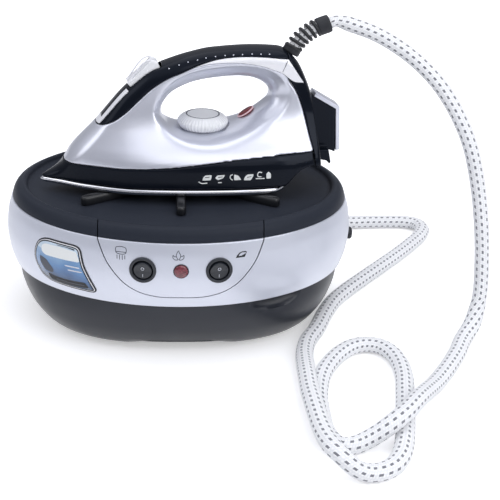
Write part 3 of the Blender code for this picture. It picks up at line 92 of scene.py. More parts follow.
def easedSlope(before, here, after):
    first = (here[1] - before[1]) / (here[0] - before[0])
    second = (after[1] - here[1]) / (after[0] - here[0])
    return 0.0 if first * second <= 0 else 2 * first * second / (first + second)


def easedValue(table, at):  # smooth between the rows of a table, with no overshoot
    if at <= table[0][0]:
        return table[0][1]
    for index in range(len(table) - 1):
        (x0, y0), (x1, y1) = table[index], table[index + 1]
        if at <= x1:
            width = x1 - x0
            left = right = (y1 - y0) / width
            if index:
                left = easedSlope(*table[index - 1:index + 2])
            if index + 2 < len(table):
                right = easedSlope(*table[index:index + 3])
            return eased(y0, y1, left * width, right * width, (at - x0) / width)
    return table[-1][1]


def smoothLine(points, step):  # points about a step apart on a smooth curve
    points = [Vector(point) for point in points]
    spans = [(after - here).length for here, after in zip(points, points[1:])]
    runs = [(points[1] - points[0]) / spans[0]]
    for index in range(1, len(points) - 1):
        before = (points[index] - points[index - 1]) / spans[index - 1]
        after = (points[index + 1] - points[index]) / spans[index]
        runs.append((before * spans[index] + after * spans[index - 1]) / (spans[index] + spans[index - 1]))
    runs.append((points[-1] - points[-2]) / spans[-1])
    made = []
    for index, span in enumerate(spans):
        count = max(1, round(span / step))
        made += [eased(points[index], points[index + 1], runs[index] * span, runs[index + 1] * span, part / count)
                 for part in range(count)]
    return made + [points[-1]]


def wayAt(line, index, closed=False):  # from the point before to the point after
    if closed:
        return line[(index + 1) % len(line)] - line[index - 1]
    return line[min(index + 1, len(line) - 1)] - line[max(index - 1, 0)]


def shifted(line, distance, closed=False):  # a line in X and Z, moved to its left
    moved = []
    for index, point in enumerate(line):
        run = wayAt(line, index, closed)
        moved.append(point + Vector((-run.z, 0, run.x)).normalized() * distance)
    return moved


def grown(line, distance):  # a closed outline in X and Z, grown outwards
    area = sum(a.x * b.z - b.x * a.z for a, b in zip(line, [*line[1:], line[0]]))
    return shifted(line, -distance if area > 0 else distance, True)


def evenly(points, step):  # points at even steps along a line, and its length
    points = np.array([tuple(point) for point in points])
    run = np.concatenate([[0], np.cumsum(np.linalg.norm(np.diff(points, axis=0), axis=1))])
    count = max(2, round(run[-1] / step))
    at = np.linspace(0, run[-1], count + 1)
    return [Vector([np.interp(s, run, points[:, axis]) for axis in range(3)]) for s in at], run[-1]


def roundedLine(corners, step, passes):  # a closed outline with straight sides and small round corners
    line = evenly([*corners, corners[0]], step)[0][:-1]
    for _ in range(passes):
        line = [(line[index - 1] + line[index] * 2 + line[(index + 1) % len(line)]) / 4 for index in range(len(line))]
    return line


def skin(name, rings, wrap=False):  # a grid pulled over rings of points, its ends closed
    rows = [[*ring, ring[0]] for ring in rings]
    if wrap:
        rows.append(rows[0])
    deselectAll()
    bpy.ops.mesh.primitive_grid_add(x_subdivisions=len(rows[0]) - 1, y_subdivisions=len(rows) - 1)
    piece = bpy.context.object
    piece.name = piece.data.name = name
    piece.data.vertices.foreach_set("co", np.array([tuple(p) for row in rows for p in row], float).ravel())
    bpy.ops.object.mode_set(mode="EDIT")
    bpy.ops.mesh.select_all(action="SELECT")
    bpy.ops.mesh.remove_doubles(threshold=1e-6)
    if not wrap:
        bpy.ops.mesh.fill_holes(sides=0)
    bpy.ops.mesh.select_all(action="SELECT")
    bpy.ops.mesh.normals_make_consistent(inside=False)
    bpy.ops.object.mode_set(mode="OBJECT")
    return piece


def prism(name, outline, near, far, rows=1):  # an outline in X and Z, run along Y
    rings = [[Vector((x, near + (far - near) * row / rows, z)) for x, z in outline] for row in range(rows + 1)]
    return skin(name, rings)


def turned(name, profile, at, along, count=96, wrap=False):  # radii and distances, turned about a line
    turn = Vector(along).to_track_quat("Z", "Y").to_matrix()
    rings = [[Vector(at) + turn @ Vector((radius * c, radius * s, distance)) for c, s in circle(count)]
             for radius, distance in profile]
    return skin(name, rings, wrap)


def tubeAlong(name, line, radius, sides=10, closed=False):
    rings, side = [], None
    for index, point in enumerate(line):
        run = wayAt(line, index, closed).normalized()
        side = run.orthogonal() if side is None else side - run * side.dot(run)
        side.normalize()
        rings.append(hoop(point, side, run.cross(side), radius, sides))
    return skin(name, rings, wrap=closed)


def change(piece, kind, **settings):  # one modifier, applied at once
    pick(piece)
    modifier = piece.modifiers.new(kind.lower(), kind)
    for key, value in settings.items():
        setattr(modifier, key, value)
    bpy.ops.object.modifier_apply(modifier=modifier.name)
    return piece


def carve(piece, tool, operation="DIFFERENCE"):
    change(piece, "BOOLEAN", operation=operation, object=tool, solver="EXACT")
    bpy.data.objects.remove(tool)
    return piece


def soften(piece, width, segments=2, angle=35):  # rounds the edges sharper than an angle
    return change(piece, "BEVEL", width=width, segments=segments, limit_method="ANGLE", angle_limit=angle * degree)


def mould(piece, voxel, passes):  # rounds all edges a little, as a moulded shell has them
    change(piece, "REMESH", mode="VOXEL", voxel_size=voxel, use_smooth_shade=True)
    return change(piece, "SMOOTH", factor=0.5, iterations=passes)


def recast(node, name, bevel=0.0, angle=30, segments=2):  # a copy of a CAD node with its triangles merged
    piece = nodes[node].copy()
    piece.data = nodes[node].data.copy()
    for key in list(piece.keys()):
        del piece[key]
    piece.parent = None
    piece.data.transform(nodes[node].matrix_world)
    piece.matrix_world = Matrix()
    piece.name = piece.data.name = name
    bpy.context.scene.collection.objects.link(piece)
    piece.data.materials.clear()
    pick(piece)
    bpy.ops.object.mode_set(mode="EDIT")
    bpy.ops.mesh.select_all(action="SELECT")
    bpy.ops.mesh.remove_doubles(threshold=0.01 * mm)
    bpy.ops.mesh.dissolve_limited(angle_limit=1.5 * degree)
    bpy.ops.object.mode_set(mode="OBJECT")
    if bevel:
        soften(piece, bevel, segments, angle)
    return piece


def settle(piece, material, body, replaced=(), angle=38):  # shading, finish and body of a piece
    pick(piece)
    bpy.ops.object.shade_smooth_by_angle(angle=angle * degree)
    piece.data.materials.clear()
    piece.data.materials.append(material)
    if replaced:
        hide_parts(replaced)
    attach(piece, body)
    return piece


def settleCopies(finish, body, rows, segments=2, angle=40, corner=30):  # CAD nodes with only their edges rounded
    for node, name, key, bevel in rows:
        piece = recast(node, name, bevel * mm, corner, segments)
        settle(piece, finish[key], body, node, angle)
    return piece


def hexColour(code):  # an sRGB hex value as linear colour
    parts = [int(code[index:index + 2], 16) / 255 for index in (1, 3, 5)]
    return (*[v / 12.92 if v <= 0.04045 else ((v + 0.055) / 1.055) ** 2.4 for v in parts], 1)


def addNode(tree, kind, settings=None, **links):  # a node with its settings, values and links
    node = tree.nodes.new(kind)
    for key, value in (settings or {}).items():
        setattr(node, key, value)
    for key, value in links.items():
        socket = node.inputs[int(key[1:])] if key[1:].isdigit() else node.inputs[key.replace("_", " ")]
        if isinstance(value, bpy.types.NodeSocket):
            tree.links.new(value, socket)
        else:
            socket.default_value = value
    return node


def mathNode(tree, operation, a, b=0.0, c=0.0, **settings):
    return addNode(tree, "ShaderNodeMath", {"operation": operation, **settings}, _0=a, _1=b, _2=c).outputs[0]


def rangeNode(tree, value, start, end, low, high, **settings):
    return addNode(tree, "ShaderNodeMapRange", settings, Value=value, _1=start, _2=end, _3=low, _4=high).outputs[0]


def noiseNode(tree, where, grain, detail):  # grain in millimetres
    return addNode(tree, "ShaderNodeTexNoise", Vector=where, Scale=1 / (grain * mm), Detail=detail).outputs["Fac"]


def mixNode(tree, share, low, high):  # between two colours, each a hex value or a socket
    low, high = (hexColour(tone) if isinstance(tone, str) else tone for tone in (low, high))
    return addNode(tree, "ShaderNodeMix", {"data_type": "RGBA"}, _0=share, _6=low, _7=high).outputs[2]


def objectPlace(tree):
    return addNode(tree, "ShaderNodeTexCoord").outputs["Object"]


def addBump(tree, shader, height, depth, strength=1.0):
    bump = addNode(tree, "ShaderNodeBump", Height=height, Distance=depth * mm, Strength=strength)
    tree.links.new(bump.outputs["Normal"], shader.inputs["Normal"])


def newMaterial(name, colour, roughness, metallic=0.0, **sockets):
    material = bpy.data.materials.new(name)
    material.use_nodes = True
    material.diffuse_color = hexColour(colour)
    shader = material.node_tree.nodes["Principled BSDF"]
    values = {"Base Color": hexColour(colour), "Roughness": roughness, "Metallic": metallic, **sockets}
    for key, value in values.items():
        shader.inputs[key.replace("_", " ")].default_value = value
    return material, material.node_tree, shader


def speckle(tree, shader, grain, depth):  # fine bumps, in millimetres
    addBump(tree, shader, noiseNode(tree, objectPlace(tree), grain, 2.0), depth)


def blotches(tree, shader, socket, low, high, size):  # a slow change between two values, size in millimetres
    share = noiseNode(tree, objectPlace(tree), size, 4.0)
    if isinstance(low, str):
        drift = mixNode(tree, share, low, high)
    else:
        drift = rangeNode(tree, share, 0.25, 0.75, low, high)
    tree.links.new(drift, shader.inputs[socket])


# key and name, colour, roughness, metal, the grain and depth of its fine bumps, what drifts slowly over it, the rest
finishes = (
    # satin metallic paint on moulded ABS: fine aluminium flake under a thin clear coat
    ("silver", "silverPaintedAbs", "#CDD1DB", 0.38, 0.55, (0.35, 0.004), ("Base Color", "#C6CAD6", "#D1D4DE", 45),
     {"Coat_Weight": 0.2, "Coat_Roughness": 0.2}),
    # the iron's shell: the same paint, polished further, so its shades run deeper
    ("shell", "polishedSilverAbs", "#D6D9E2", 0.28, 0.6, (0.3, 0.003), ("Base Color", "#CDD0DC", "#D8DAE4", 35),
     {"Coat_Weight": 0.5, "Coat_Roughness": 0.06}),
    # spark-eroded ABS lid: a fine even grain that spreads the highlights
    ("lid", "grainedLidAbs", "#2C3039", 0.45, 0.0, (0.8, 0.02), ("Roughness", 0.38, 0.48, 30),
     {"Specular_IOR_Level": 0.08}),
    # the bowl: smoother ABS, slightly worn
    ("bowl", "mouldedBowlAbs", "#252830", 0.34, 0.0, (0.7, 0.012), ("Roughness", 0.3, 0.44, 26),
     {"Specular_IOR_Level": 0.35}),
    # polished black ABS of the iron: near mirror, with faint handling marks
    ("gloss", "polishedBlackAbs", "#0D1119", 0.15, 0.0, (6, 0.01), ("Roughness", 0.1, 0.22, 14),
     {"Specular_IOR_Level": 0.15, "Coat_Weight": 0.06, "Coat_Roughness": 0.05, "Specular_Tint": hexColour("#C8D2EA")}),
    # nitrile rubber: dull, finely pitted
    ("rubber", "mouldedRubber", "#1F2126", 0.5, 0.0, (0.6, 0.05), ("Base Color", "#1C1E22", "#2A2C32", 8),
     {"Specular_IOR_Level": 0.35}),
    # harder rubber of the rest ribs, shining a little where the iron has rubbed it
    ("rib", "rubbedRibRubber", "#15171B", 0.34, 0.0, (1.1, 0.06), None, {}),
    # switch nylon: dark grey with a soft sheen
    ("switch", "switchNylon", "#1C2028", 0.3, 0.0, (0.5, 0.012), ("Roughness", 0.28, 0.42, 6), {}),
    # red polycarbonate of the iron's lamp: deep and even
    ("lens", "clearRedLens", "#6E111B", 0.18, 0.0, None, ("Base Color", "#5C0E17", "#84202A", 5),
     {"Coat_Weight": 0.2, "Coat_Roughness": 0.1}),
    # pale pink film of light that the lens throws on its rim
    ("rim", "pinkLensRim", "#F0C9CF", 0.3, 0.0, (0.5, 0.004), None, {"Coat_Weight": 0.3}),
    # boiler parts: brushed stainless, turned brass, copper tube and coil, sand-cast aluminium
    ("steel", "brushedStainless", "#B9BBBD", 0.3, 1.0, (0.25, 0.02), ("Roughness", 0.22, 0.4, 9), {}),
    ("brass", "turnedBrass", "#C9A352", 0.28, 1.0, (0.3, 0.02), ("Roughness", 0.2, 0.38, 9), {}),
    ("copper", "drawnCopper", "#C77B56", 0.3, 1.0, (0.4, 0.02), ("Roughness", 0.22, 0.4, 9), {}),
    ("casting", "sandCastAluminium", "#9C9DA0", 0.55, 1.0, (0.9, 0.02), ("Roughness", 0.47, 0.65, 9), {}),
    # the sole: mirror-polished chrome over aluminium, with light wear
    ("chrome", "polishedChrome", "#D9DADF", 0.1, 1.0, (1.2, 0.004), ("Roughness", 0.06, 0.18, 12), {}),
    # pearl-filled ABS inserts: pale, with a soft milky shine; the same pale colour paints the highlights along the
    # steam button's sides
    ("pearl", "pearlAbsAndGlint", "#EEEEF4", 0.3, 0.1, (0.4, 0.004), ("Base Color", "#E8E9F0", "#F5F5F8", 12),
     {"Coat_Weight": 0.4, "Coat_Roughness": 0.1}),
    # frosted polycarbonate of the dial and the button: bright and milky, with a hard wet shine
    ("clear", "clearPolycarbonate", "#F6F8FB", 0.1, 0.0, None, ("Base Color", "#F1F3F7", "#FBFCFE", 7),
     {"IOR": 1.5, "Transmission_Weight": 0.06, "Coat_Weight": 0.5, "Coat_Roughness": 0.05}),
    # screen-printed inks: flat colour with a barely rough face; the dark grey one also paints the highlight along the
    # bowl's arch edge
    ("inkDarkAndHighlight", "darkPrintedInkAndHighlight", "#4C505A", 0.5, 0.0, (0.3, 0.01), None, {}),
    ("inkPale", "palePrintedInk", "#D9DCE4", 0.5, 0.0, (0.3, 0.01), None, {}),
    ("inkBlack", "blackPrintedInk", "#16181D", 0.5, 0.0, (0.3, 0.01), None, {}),
    ("inkWhite", "whitePrintedInk", "#EEF1F0", 0.5, 0.0, (0.3, 0.01), None, {}),
)


def makeFinishes():
    made = {"lamp": makeLampFinish(), "badge": makeBadgeFinish(), "braid": makeBraidFinish()}
    for key, name, colour, roughness, metallic, bumps, drift, sockets in finishes:
        made[key], tree, shader = newMaterial(name, colour, roughness, metallic, **sockets)
        if bumps:
            speckle(tree, shader, *bumps)
        if drift:
            blotches(tree, shader, *drift)
    return made


def makeLampFinish():
    # lamp lens: red polycarbonate with a prismatic inside that breaks up the light
    m, tree, shader = newMaterial("prismaticRedLens", "#7C2A38", 0.22, 0.0, Coat_Weight=0.6, Coat_Roughness=0.08,
                                  Transmission_Weight=0.1)
    cells = addNode(tree, "ShaderNodeTexVoronoi", Vector=objectPlace(tree), Scale=1 / (1.9 * mm)).outputs["Distance"]
    tree.links.new(mixNode(tree, cells, "#8E3342", "#571522"), shader.inputs["Base Color"])
    addBump(tree, shader, cells, 0.25)
    return m


def makeBadgeFinish():
    # printed polycarbonate plate: a blue fade that pales towards the top, in swirling bands
    m, tree, shader = newMaterial("printedBluePlate", "#4F83B8", 0.25, 0.0, Coat_Weight=0.7, Coat_Roughness=0.05)
    where = objectPlace(tree)
    height = addNode(tree, "ShaderNodeSeparateXYZ", Vector=where).outputs[2]
    up = rangeNode(tree, height, 66 * mm, 110 * mm, 0.0, 1.0)
    bent = mathNode(tree, "MULTIPLY_ADD", noiseNode(tree, where, 30, 2.0), 0.5, up)
    fade = addNode(tree, "ShaderNodeValToRGB", Fac=bent)
    stops = ((0.32, "#1C3858"), (0.5, "#2E5E92"), (0.72, "#4F83B8"), (1.0, "#8FB1D2"), (1.0, "#C9DBEA"))
    ramp = fade.color_ramp
    for index, (at, colour) in enumerate(stops):
        stop = ramp.elements[index] if index < 2 else ramp.elements.new(at)
        stop.position, stop.color = at, hexColour(colour)
    tree.links.new(fade.outputs["Color"], shader.inputs["Base Color"])
    speckle(tree, shader, 0.5, 0.004)
    return m


braid = {"girth": 2 * math.pi * 7.3 * mm, "lanes": 8, "pitch": 7 * mm, "dash": 3.1 * mm, "wide": 0.34,
         "slant": 0.22, "cord": 1.15 * mm}


def makeBraidFinish():
    # cotton braid over rubber: white yarn with grey threads that come up as short slanted dashes.
    # The hose's UV map is in metres: across is the way round, up is the way along
    m, tree, shader = newMaterial("cottonBraid", "#F8F9FA", 0.9, 0.0, Sheen_Weight=0.7)
    uv = addNode(tree, "ShaderNodeTexCoord").outputs["UV"]
    split = addNode(tree, "ShaderNodeSeparateXYZ", Vector=uv)

    def calc(operation, a, b=0.0, c=0.0):
        return mathNode(tree, operation, a, b, c)

    def crossings(lanes, pitch):  # the places in a lane, and along it, of a braid with this pitch
        lane = calc("MULTIPLY", split.outputs[0], lanes / braid["girth"])
        inLane = calc("SUBTRACT", calc("FRACT", lane), 0.5)
        odd = calc("MODULO", calc("FLOOR", lane), 2.0)
        shift = calc("MULTIPLY_ADD", odd, 0.5, calc("MULTIPLY", inLane, braid["slant"]))
        along = calc("ADD", calc("DIVIDE", split.outputs[1], pitch), shift)
        return inLane, calc("SUBTRACT", calc("FRACT", along), 0.5)

    inLane, inStep = crossings(braid["lanes"], braid["pitch"])
    wide = calc("LESS_THAN", calc("ABSOLUTE", inLane), braid["wide"] / 2)
    long = calc("LESS_THAN", calc("ABSOLUTE", inStep), braid["dash"] / braid["pitch"] / 2)
    # the white yarns swell between their crossings; their colour is painted darker in the hollows between them, as
    # shade, and drifts at random
    inLane, inStep = crossings(braid["lanes"] * 2, braid["cord"] * 2)
    swell = calc("MULTIPLY", *(calc("COSINE", calc("MULTIPLY", place, math.pi)) for place in (inStep, inLane)))
    toneAndCreaseShade = calc("MULTIPLY_ADD", noiseNode(tree, uv, 2.5, 3.0), 0.4, calc("MULTIPLY", swell, 0.75))
    yarn = mixNode(tree, toneAndCreaseShade, "#E6E8EC", "#FFFFFF")
    tree.links.new(mixNode(tree, calc("MULTIPLY", wide, long), yarn, "#7B7D84"), shader.inputs["Base Color"])
    addBump(tree, shader, swell, 0.3, 0.5)
    return m


# the camera stands where the photograph was taken from
camera = {"eye": (-8.99 * mm, -995.81 * mm, 518.02 * mm), "lens": 79.3,
          "right": (0.997419, -0.063162, 0.034131), "up": (-0.004451, 0.420090, 0.907472),
          "ahead": (0.071656, 0.905282, -0.418725)}


def addItem(name, data):
    item = bpy.data.objects.new(name, data)
    bpy.context.scene.collection.objects.link(item)
    return item


def addCamera():
    data = bpy.data.cameras.new("studioCamera")
    data.lens, data.sensor_width = camera["lens"], 36
    item = addItem("studioCamera", data)
    columns = (Vector(camera["right"]), Vector(camera["up"]), -Vector(camera["ahead"]), Vector(camera["eye"]))
    item.matrix_world = Matrix([[column[row] for column in columns] for row in range(3)] + [[0, 0, 0, 1]])
    bpy.context.scene.camera = item


# braided steam hose, from the strain relief round to the gland at the back
hose = {"wide": 8.3 * mm, "high": 7.1 * mm, "sides": 28, "step": 2.6 * mm, "length": 1.9, "rest": 7.25 * mm,
        "coils": 55 * mm, "slim": 0.76, "swell": 9 * mm}
hoseRoute = (
    (149.6, 11.2, 285.2), (160.5, 9.4, 282.4), (177.4, 5, 277.4), (197, -1, 268.3), (218.6, -9, 254.2),
    (238.2, -18, 236), (254.9, -27, 212.8), (268.4, -35, 185.8), (278.9, -41, 150.2), (286, -47, 111.8),
    (290.3, -53, 70.3), (289.6, -62, 33), (281.6, -76, 15), (269.6, -93, 7.6), (258.2, -117.5, 7.3),
    (243.9, -143.3, 7.3), (225.2, -174, 9), (210.2, -200, 16.5), (196.7, -223, 22.6), (183.9, -241, 22.9),
    (174.7, -250.3, 21.5), (165.9, -255.3, 17.5), (157.6, -257.8, 12.5), (147.8, -261, 8.4), (137.4, -265.5, 7.3),
    (129, -266.5, 7.3), (121.3, -255, 7.3), (118, -241.5, 7.3), (117.5, -222, 7.3), (118, -201, 7.3),
    (121, -178, 7.3), (127.2, -155, 7.3), (136, -136, 7.3), (147.5, -118.8, 7.3), (161.5, -106, 7.3),
    (174.5, -102.2, 7.3), (186.5, -105.3, 7.3), (195.3, -116.3, 7.3), (199.8, -134.5, 7.3),
    (199.8, -159, 7.3), (195.6, -185.6, 7.3), (190.3, -214, 7.3), (185.2, -241, 7.3), (180, -263.8, 7.3),
    (173, -282.8, 7.3), (164.5, -294.5, 7.3), (154, -300.9, 7.3), (143.5, -302.6, 8), (134.5, -302.6, 12),
    (128, -300.8, 17), (122.4, -297.5, 21.3), (117.8, -290.5, 22.9), (114.2, -277.7, 22.9),
    (111.8, -261.6, 22.9), (110.6, -244.4, 22.9), (109.6, -224.5, 22.6), (109.2, -203.5, 21),
    (110, -177.6, 19), (111.8, -147.3, 13), (114.2, -120.8, 8.6), (120, -95.5, 7.3), (130.7, -73.2, 7.3),
    (141.9, -43.2, 7.3), (154.5, -15.5, 7.3), (171.5, 9.8, 7.3), (192.4, 36.7, 7.3), (216.9, 67.3, 7.3),
    (241.3, 98.2, 7.3), (262.9, 127.9, 7.3), (278.2, 151.8, 7.3), (284, 171.5, 7.3), (279, 185, 7.3),
    (267, 189.6, 7.3), (248, 190.6, 7.3), (223.8, 189.4, 7.3), (201.9, 187.2, 7.6), (172, 181, 14),
    (142, 169, 32), (116, 155, 56),
)
reliefRoute = ((101.5 * mm, 119.5 * mm), (105 * mm, 125.5 * mm), (111.7 * mm, 133.3 * mm),
               (122.5 * mm, 141 * mm), (137.5 * mm, 146.8 * mm))


def makeHose(finish):
    inner = [ironFrame @ point for point in smoothLine([Vector((x, 0, z)) for x, z in reliefRoute], 7.4 * mm)]
    out = (inner[-1] - inner[-2]).normalized()
    spot, normal = bandPlace(gland["angle"], gland["z"])
    end = spot + normal * gland["length"]
    start = inner[-1] + out * 0.6 * mm
    route = [Vector(point) * mm for point in hoseRoute]
    line = smoothLine([start, start + out * 5 * mm, *route, end + normal * 14.5 * mm, end], 2 * mm)
    for point in line:
        point.z = max(point.z, hose["rest"])
    line, length = evenly([*inner[:-1], *line], hose["step"])
    rings, side = [], Vector((0, 1, 0))
    for index, point in enumerate(line):
        run = wayAt(line, index).normalized()
        level = run.cross(Vector((0, 0, 1)))
        aim = level if level.length > 0.5 else side
        if aim.dot(side) < 0:
            aim = -aim
        side = side * 0.85 + aim.normalized() * 0.15
        side = (side - run * side.dot(run)).normalized()
        other = run.cross(side)
        reach = (index * hose["step"] - hose["coils"]) / hose["swell"]
        # slimmer where the strain relief's coils pass over it
        grow = hose["slim"] + (1 - hose["slim"]) * min(max(reach, 0), 1)
        wide, high = hose["wide"] * grow, hose["high"] * grow
        rings.append([point + side * (c * wide) + other * (s * high) for c, s in circle(hose["sides"])])
    tube = skin("braidedSteamHose", rings)
    uv = tube.data.uv_layers.active.data
    flat = np.zeros(len(uv) * 2)
    uv.foreach_get("uv", flat)
    flat[0::2] *= braid["girth"]
    flat[1::2] *= length
    uv.foreach_set("uv", flat)
    pick(tube)
    bpy.ops.object.shade_smooth_by_angle(angle=60 * degree)
    tube.data.materials.append(finish)
    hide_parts("hose_upper", "hose_lower")
    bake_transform(tube)
    return tube


# base: an oval bowl, a silver band and a black lid
base = {"halfLength": 166 * mm, "halfDepth": 129 * mm, "bandLow": 58.4 * mm, "bandHigh": 120.4 * mm,
        "bandLip": 1.3 * mm, "rim": 133.4 * mm, "deck": 128.6 * mm, "bowlLow": 6 * mm, "wall": 2.5 * mm, "around": 384}
gland = {"angle": 62 * degree, "z": 78 * mm, "length": 24.3 * mm, "hole": 12.3 * mm}
inlet = {"angle": 118 * degree, "z": 78 * mm, "hole": 7.8 * mm}
neck = {"y": 76 * mm, "bore": 12.4 * mm}
bandTable = ((0, 0.965), (0.22, 0.989), (0.5, 1), (0.78, 0.989), (1, 0.965))
bowlTable = ((0, 0.755), (0.04, 0.785), (0.2, 0.84), (0.45, 0.895), (0.75, 0.932), (1, 0.945))


def planRing(share, z, power=2.0, inset=0.0):  # one ring of the base's oval plan, squarer with a higher power
    return [Vector((math.copysign(abs(c) ** (2 / power), c) * (base["halfLength"] * share - inset),
                    math.copysign(abs(s) ** (2 / power), s) * (base["halfDepth"] * share - inset), z))
            for c, s in circle(base["around"])]


def bandShare(z):
    return easedValue(bandTable, (z - base["bandLow"]) / (base["bandHigh"] - base["bandLow"]))


def bandPlace(angle, z, proud=0.0):  # a point on the band at a plan angle, and the way out there
    length, depth = base["halfLength"] * bandShare(z), base["halfDepth"] * bandShare(z)
    normal = Vector((math.cos(angle) / length, math.sin(angle) / depth, 0)).normalized()
    return Vector((length * math.cos(angle), depth * math.sin(angle), z)) + normal * proud, normal


def bandFront(x, z, proud=0.0):  # the same, at a distance across the front
    return bandPlace(-math.acos(x / (base["halfLength"] * bandShare(z))), z, proud)


def bandSkin(name, proud):  # the band's wall, with rounded lips at both its edges
    low, high, lip = base["bandLow"], base["bandHigh"], base["bandLip"]
    corner = [(lip * (1 - math.sin(turn)), lip * (1 - math.cos(turn))) for turn in sweep(0, math.pi / 2, 4)]
    rings = [planRing(bandShare(low + lip), low + up, 2, -proud + inward) for up, inward in reversed(corner)]
    for z in sweep(low + lip, high - lip, 24)[1:-1]:
        rings.append(planRing(bandShare(z), z, 2, -proud))
    rings += [planRing(bandShare(high - lip), high - up, 2, -proud + inward) for up, inward in corner]
    rings += [planRing(bandShare(z), z, 2, base["wall"] - proud) for z in (high, (low + high) / 2, low)]
    return skin(name, rings, wrap=True)


panel = {"half": 73 * mm, "low": 69.5 * mm, "seam": 1.1 * mm, "bead": 1 * mm, "proud": 0.55 * mm}
panelShares = ((1, 1.25), (1, 0.98), (0.96, 0.82), (0.91, 0.65), (0.81, 0.435), (0.67, 0.22), (0.5, 0.08),
               (0.34, 0.02), (0, 0))


def panelLine(grow=0.0):  # the front panel's rounded U, from its top left round to its top right
    height = base["bandHigh"] - panel["low"]
    left = [(-panel["half"] * x, panel["low"] + z * height) for x, z in panelShares]
    points = [Vector((x, 0, z)) for x, z in left + [(-x, z) for x, z in reversed(left[:-1])]]
    return shifted(smoothLine(points, 2 * mm), -grow)


def frontTool(grow):
    outline = [(point.x, point.z) for point in panelLine(grow)]
    return prism("frontTool", outline, -base["halfDepth"] - 12 * mm, -base["halfDepth"] / 2, 3)


def carveRound(piece, radius, place, deep=14 * mm):  # a round hole through the band's wall
    carve(piece, turned("hole", ((radius, -deep), (radius, deep)), *place, 64))


def makeBand(finish):
    band = bandSkin("silverBandShell", 0)
    carve(band, frontTool(panel["seam"] / 2))
    for spot in (gland, inlet):
        carveRound(band, spot["hole"], bandPlace(spot["angle"], spot["z"]))
    settle(band, finish["silver"], "base", "silver_band", 32)

    plate = bandSkin("frontPanelPlate", panel["proud"])
    carve(plate, frontTool(-panel["seam"] / 2), "INTERSECT")
    for x, radius in ((-switch["x"], switch["hole"]), (switch["x"], switch["hole"]), (0, readyLamp["hole"])):
        carveRound(plate, radius, bandFront(x, switch["z"]), 9 * mm)
    settle(plate, finish["silver"], "base", "control_panel", 32)

    # the plate's edge is rolled over, which shows as a light line on its left and a dark one elsewhere
    grow, sink = panel["seam"] / 2 + panel["bead"], panel["proud"] - panel["bead"]
    line = [point for point in panelLine(-grow) if point.z < base["bandHigh"] - 1.2 * mm]
    bead = tubeAlong("panelRolledEdge", [bandFront(point.x, point.z, sink)[0] for point in line], panel["bead"], 16)
    settle(bead, finish["silver"], "base", (), 60)
    print("band and panel made")


scoop = {"turn": -56 * degree, "z": 56.5 * mm, "half": 26 * mm, "high": 10 * mm, "deep": 6.5 * mm}
arch = {"half": 52 * mm, "rise": 5 * mm, "edge": 0.6 * mm}
bowl = {"wall": 2.6 * mm, "square": 2.6, "plate": ((0.4, 5.2), (0.722, 5.2), (0.728, 5.8), (0.735, 13), (0.4, 13))}


def bowlRing(t, z, inset=0.0, shrink=1.0):  # at a share of the bowl's height: squarer lower down
    ring = planRing(easedValue(bowlTable, t) * shrink, z, 2 + (bowl["square"] - 2) * (1 - t), inset)
    x, y = math.cos(scoop["turn"]) * base["halfLength"], math.sin(scoop["turn"]) * base["halfDepth"]
    top = base["bowlLow"] + bowl["wall"] + arch["rise"]
    for point in ring:
        reach = abs(point.x) / arch["half"]
        if point.y < 0 and reach < 1 and point.z < top:
            point.z += arch["rise"] * (1 - reach**2) ** 1.5 * min((top - point.z) / bowl["wall"], 1)
        # a finger scoop is pressed in under the band
        across = math.hypot(point.x - x * 0.94, point.y - y * 0.94) / scoop["half"]
        dip = across**2 + ((point.z - scoop["z"]) / scoop["high"]) ** 2
        if dip < 1:
            point -= Vector((x, y, 0)).normalized() * scoop["deep"] * (1 - dip) ** 0.5
    return ring


def makeBowl(finish):
    low, wall, share = base["bowlLow"], bowl["wall"], easedValue(bowlTable, 0)
    height = base["bandLow"] - 0.3 * mm - low
    rings = [bowlRing(0, low, 0, 0.5), bowlRing(0, low, 0, 0.94)]
    rings += [bowlRing(t, low + t * height) for t in (0, 0.01, 0.025, 0.045, 0.07, *sweep(0.1, 1, 36))]
    rings += [bowlRing(t, max(low + t * height, low + wall), wall) for t in (1, 0.9, 0.8, 0.7, 0.6, 0.3, 0.1)]
    settle(skin("blackBowl", rings), finish["bowl"], "base", "base_tub", 50)
    # the closing plate underneath shows dark behind the arch: a polished black sheet put there for the shade under the
    # arch
    plate = skin("archShadePlate", [planRing(size, z * mm, bowl["square"]) for size, z in bowl["plate"]])
    settle(plate, finish["gloss"], "base", (), 40)
    # a grey tube along the arch's rounded edge is a painted highlight, where the edge catches the light
    line = []
    for x in sweep(-arch["half"], arch["half"], 60):
        y = (1 - abs(x / base["halfLength"] / share) ** bowl["square"]) ** (1 / bowl["square"])
        z = low + 0.5 * mm + arch["rise"] * (1 - (x / arch["half"]) ** 2) ** 1.5
        line.append(Vector((x, -base["halfDepth"] * share * y - 0.1 * mm, z)))
    settle(tubeAlong("bowlArchPaintedHighlight", line, arch["edge"]), finish["inkDarkAndHighlight"], "base", (), 60)
    print("bowl made")


lid = {"wall": 2.8 * mm, "seam": 0.45 * mm, "segment": 0.8955, "over": 12 * mm}


def segmentTool(grow):  # cuts the lid's front piece free, between the panel's sides
    half, reach, over = panel["half"] + grow, base["halfDepth"], lid["over"]
    low, high = base["bandHigh"] - over, base["rim"] + over
    outline = [(-half, low), (half, low), (half, high), (-half, high)]
    tool = prism("segmentTool", outline, -reach - over, -reach / 2)
    return carve(tool, skin("inner", [planRing(lid["segment"], z, 2, grow) for z in (low - over, high + over)]))


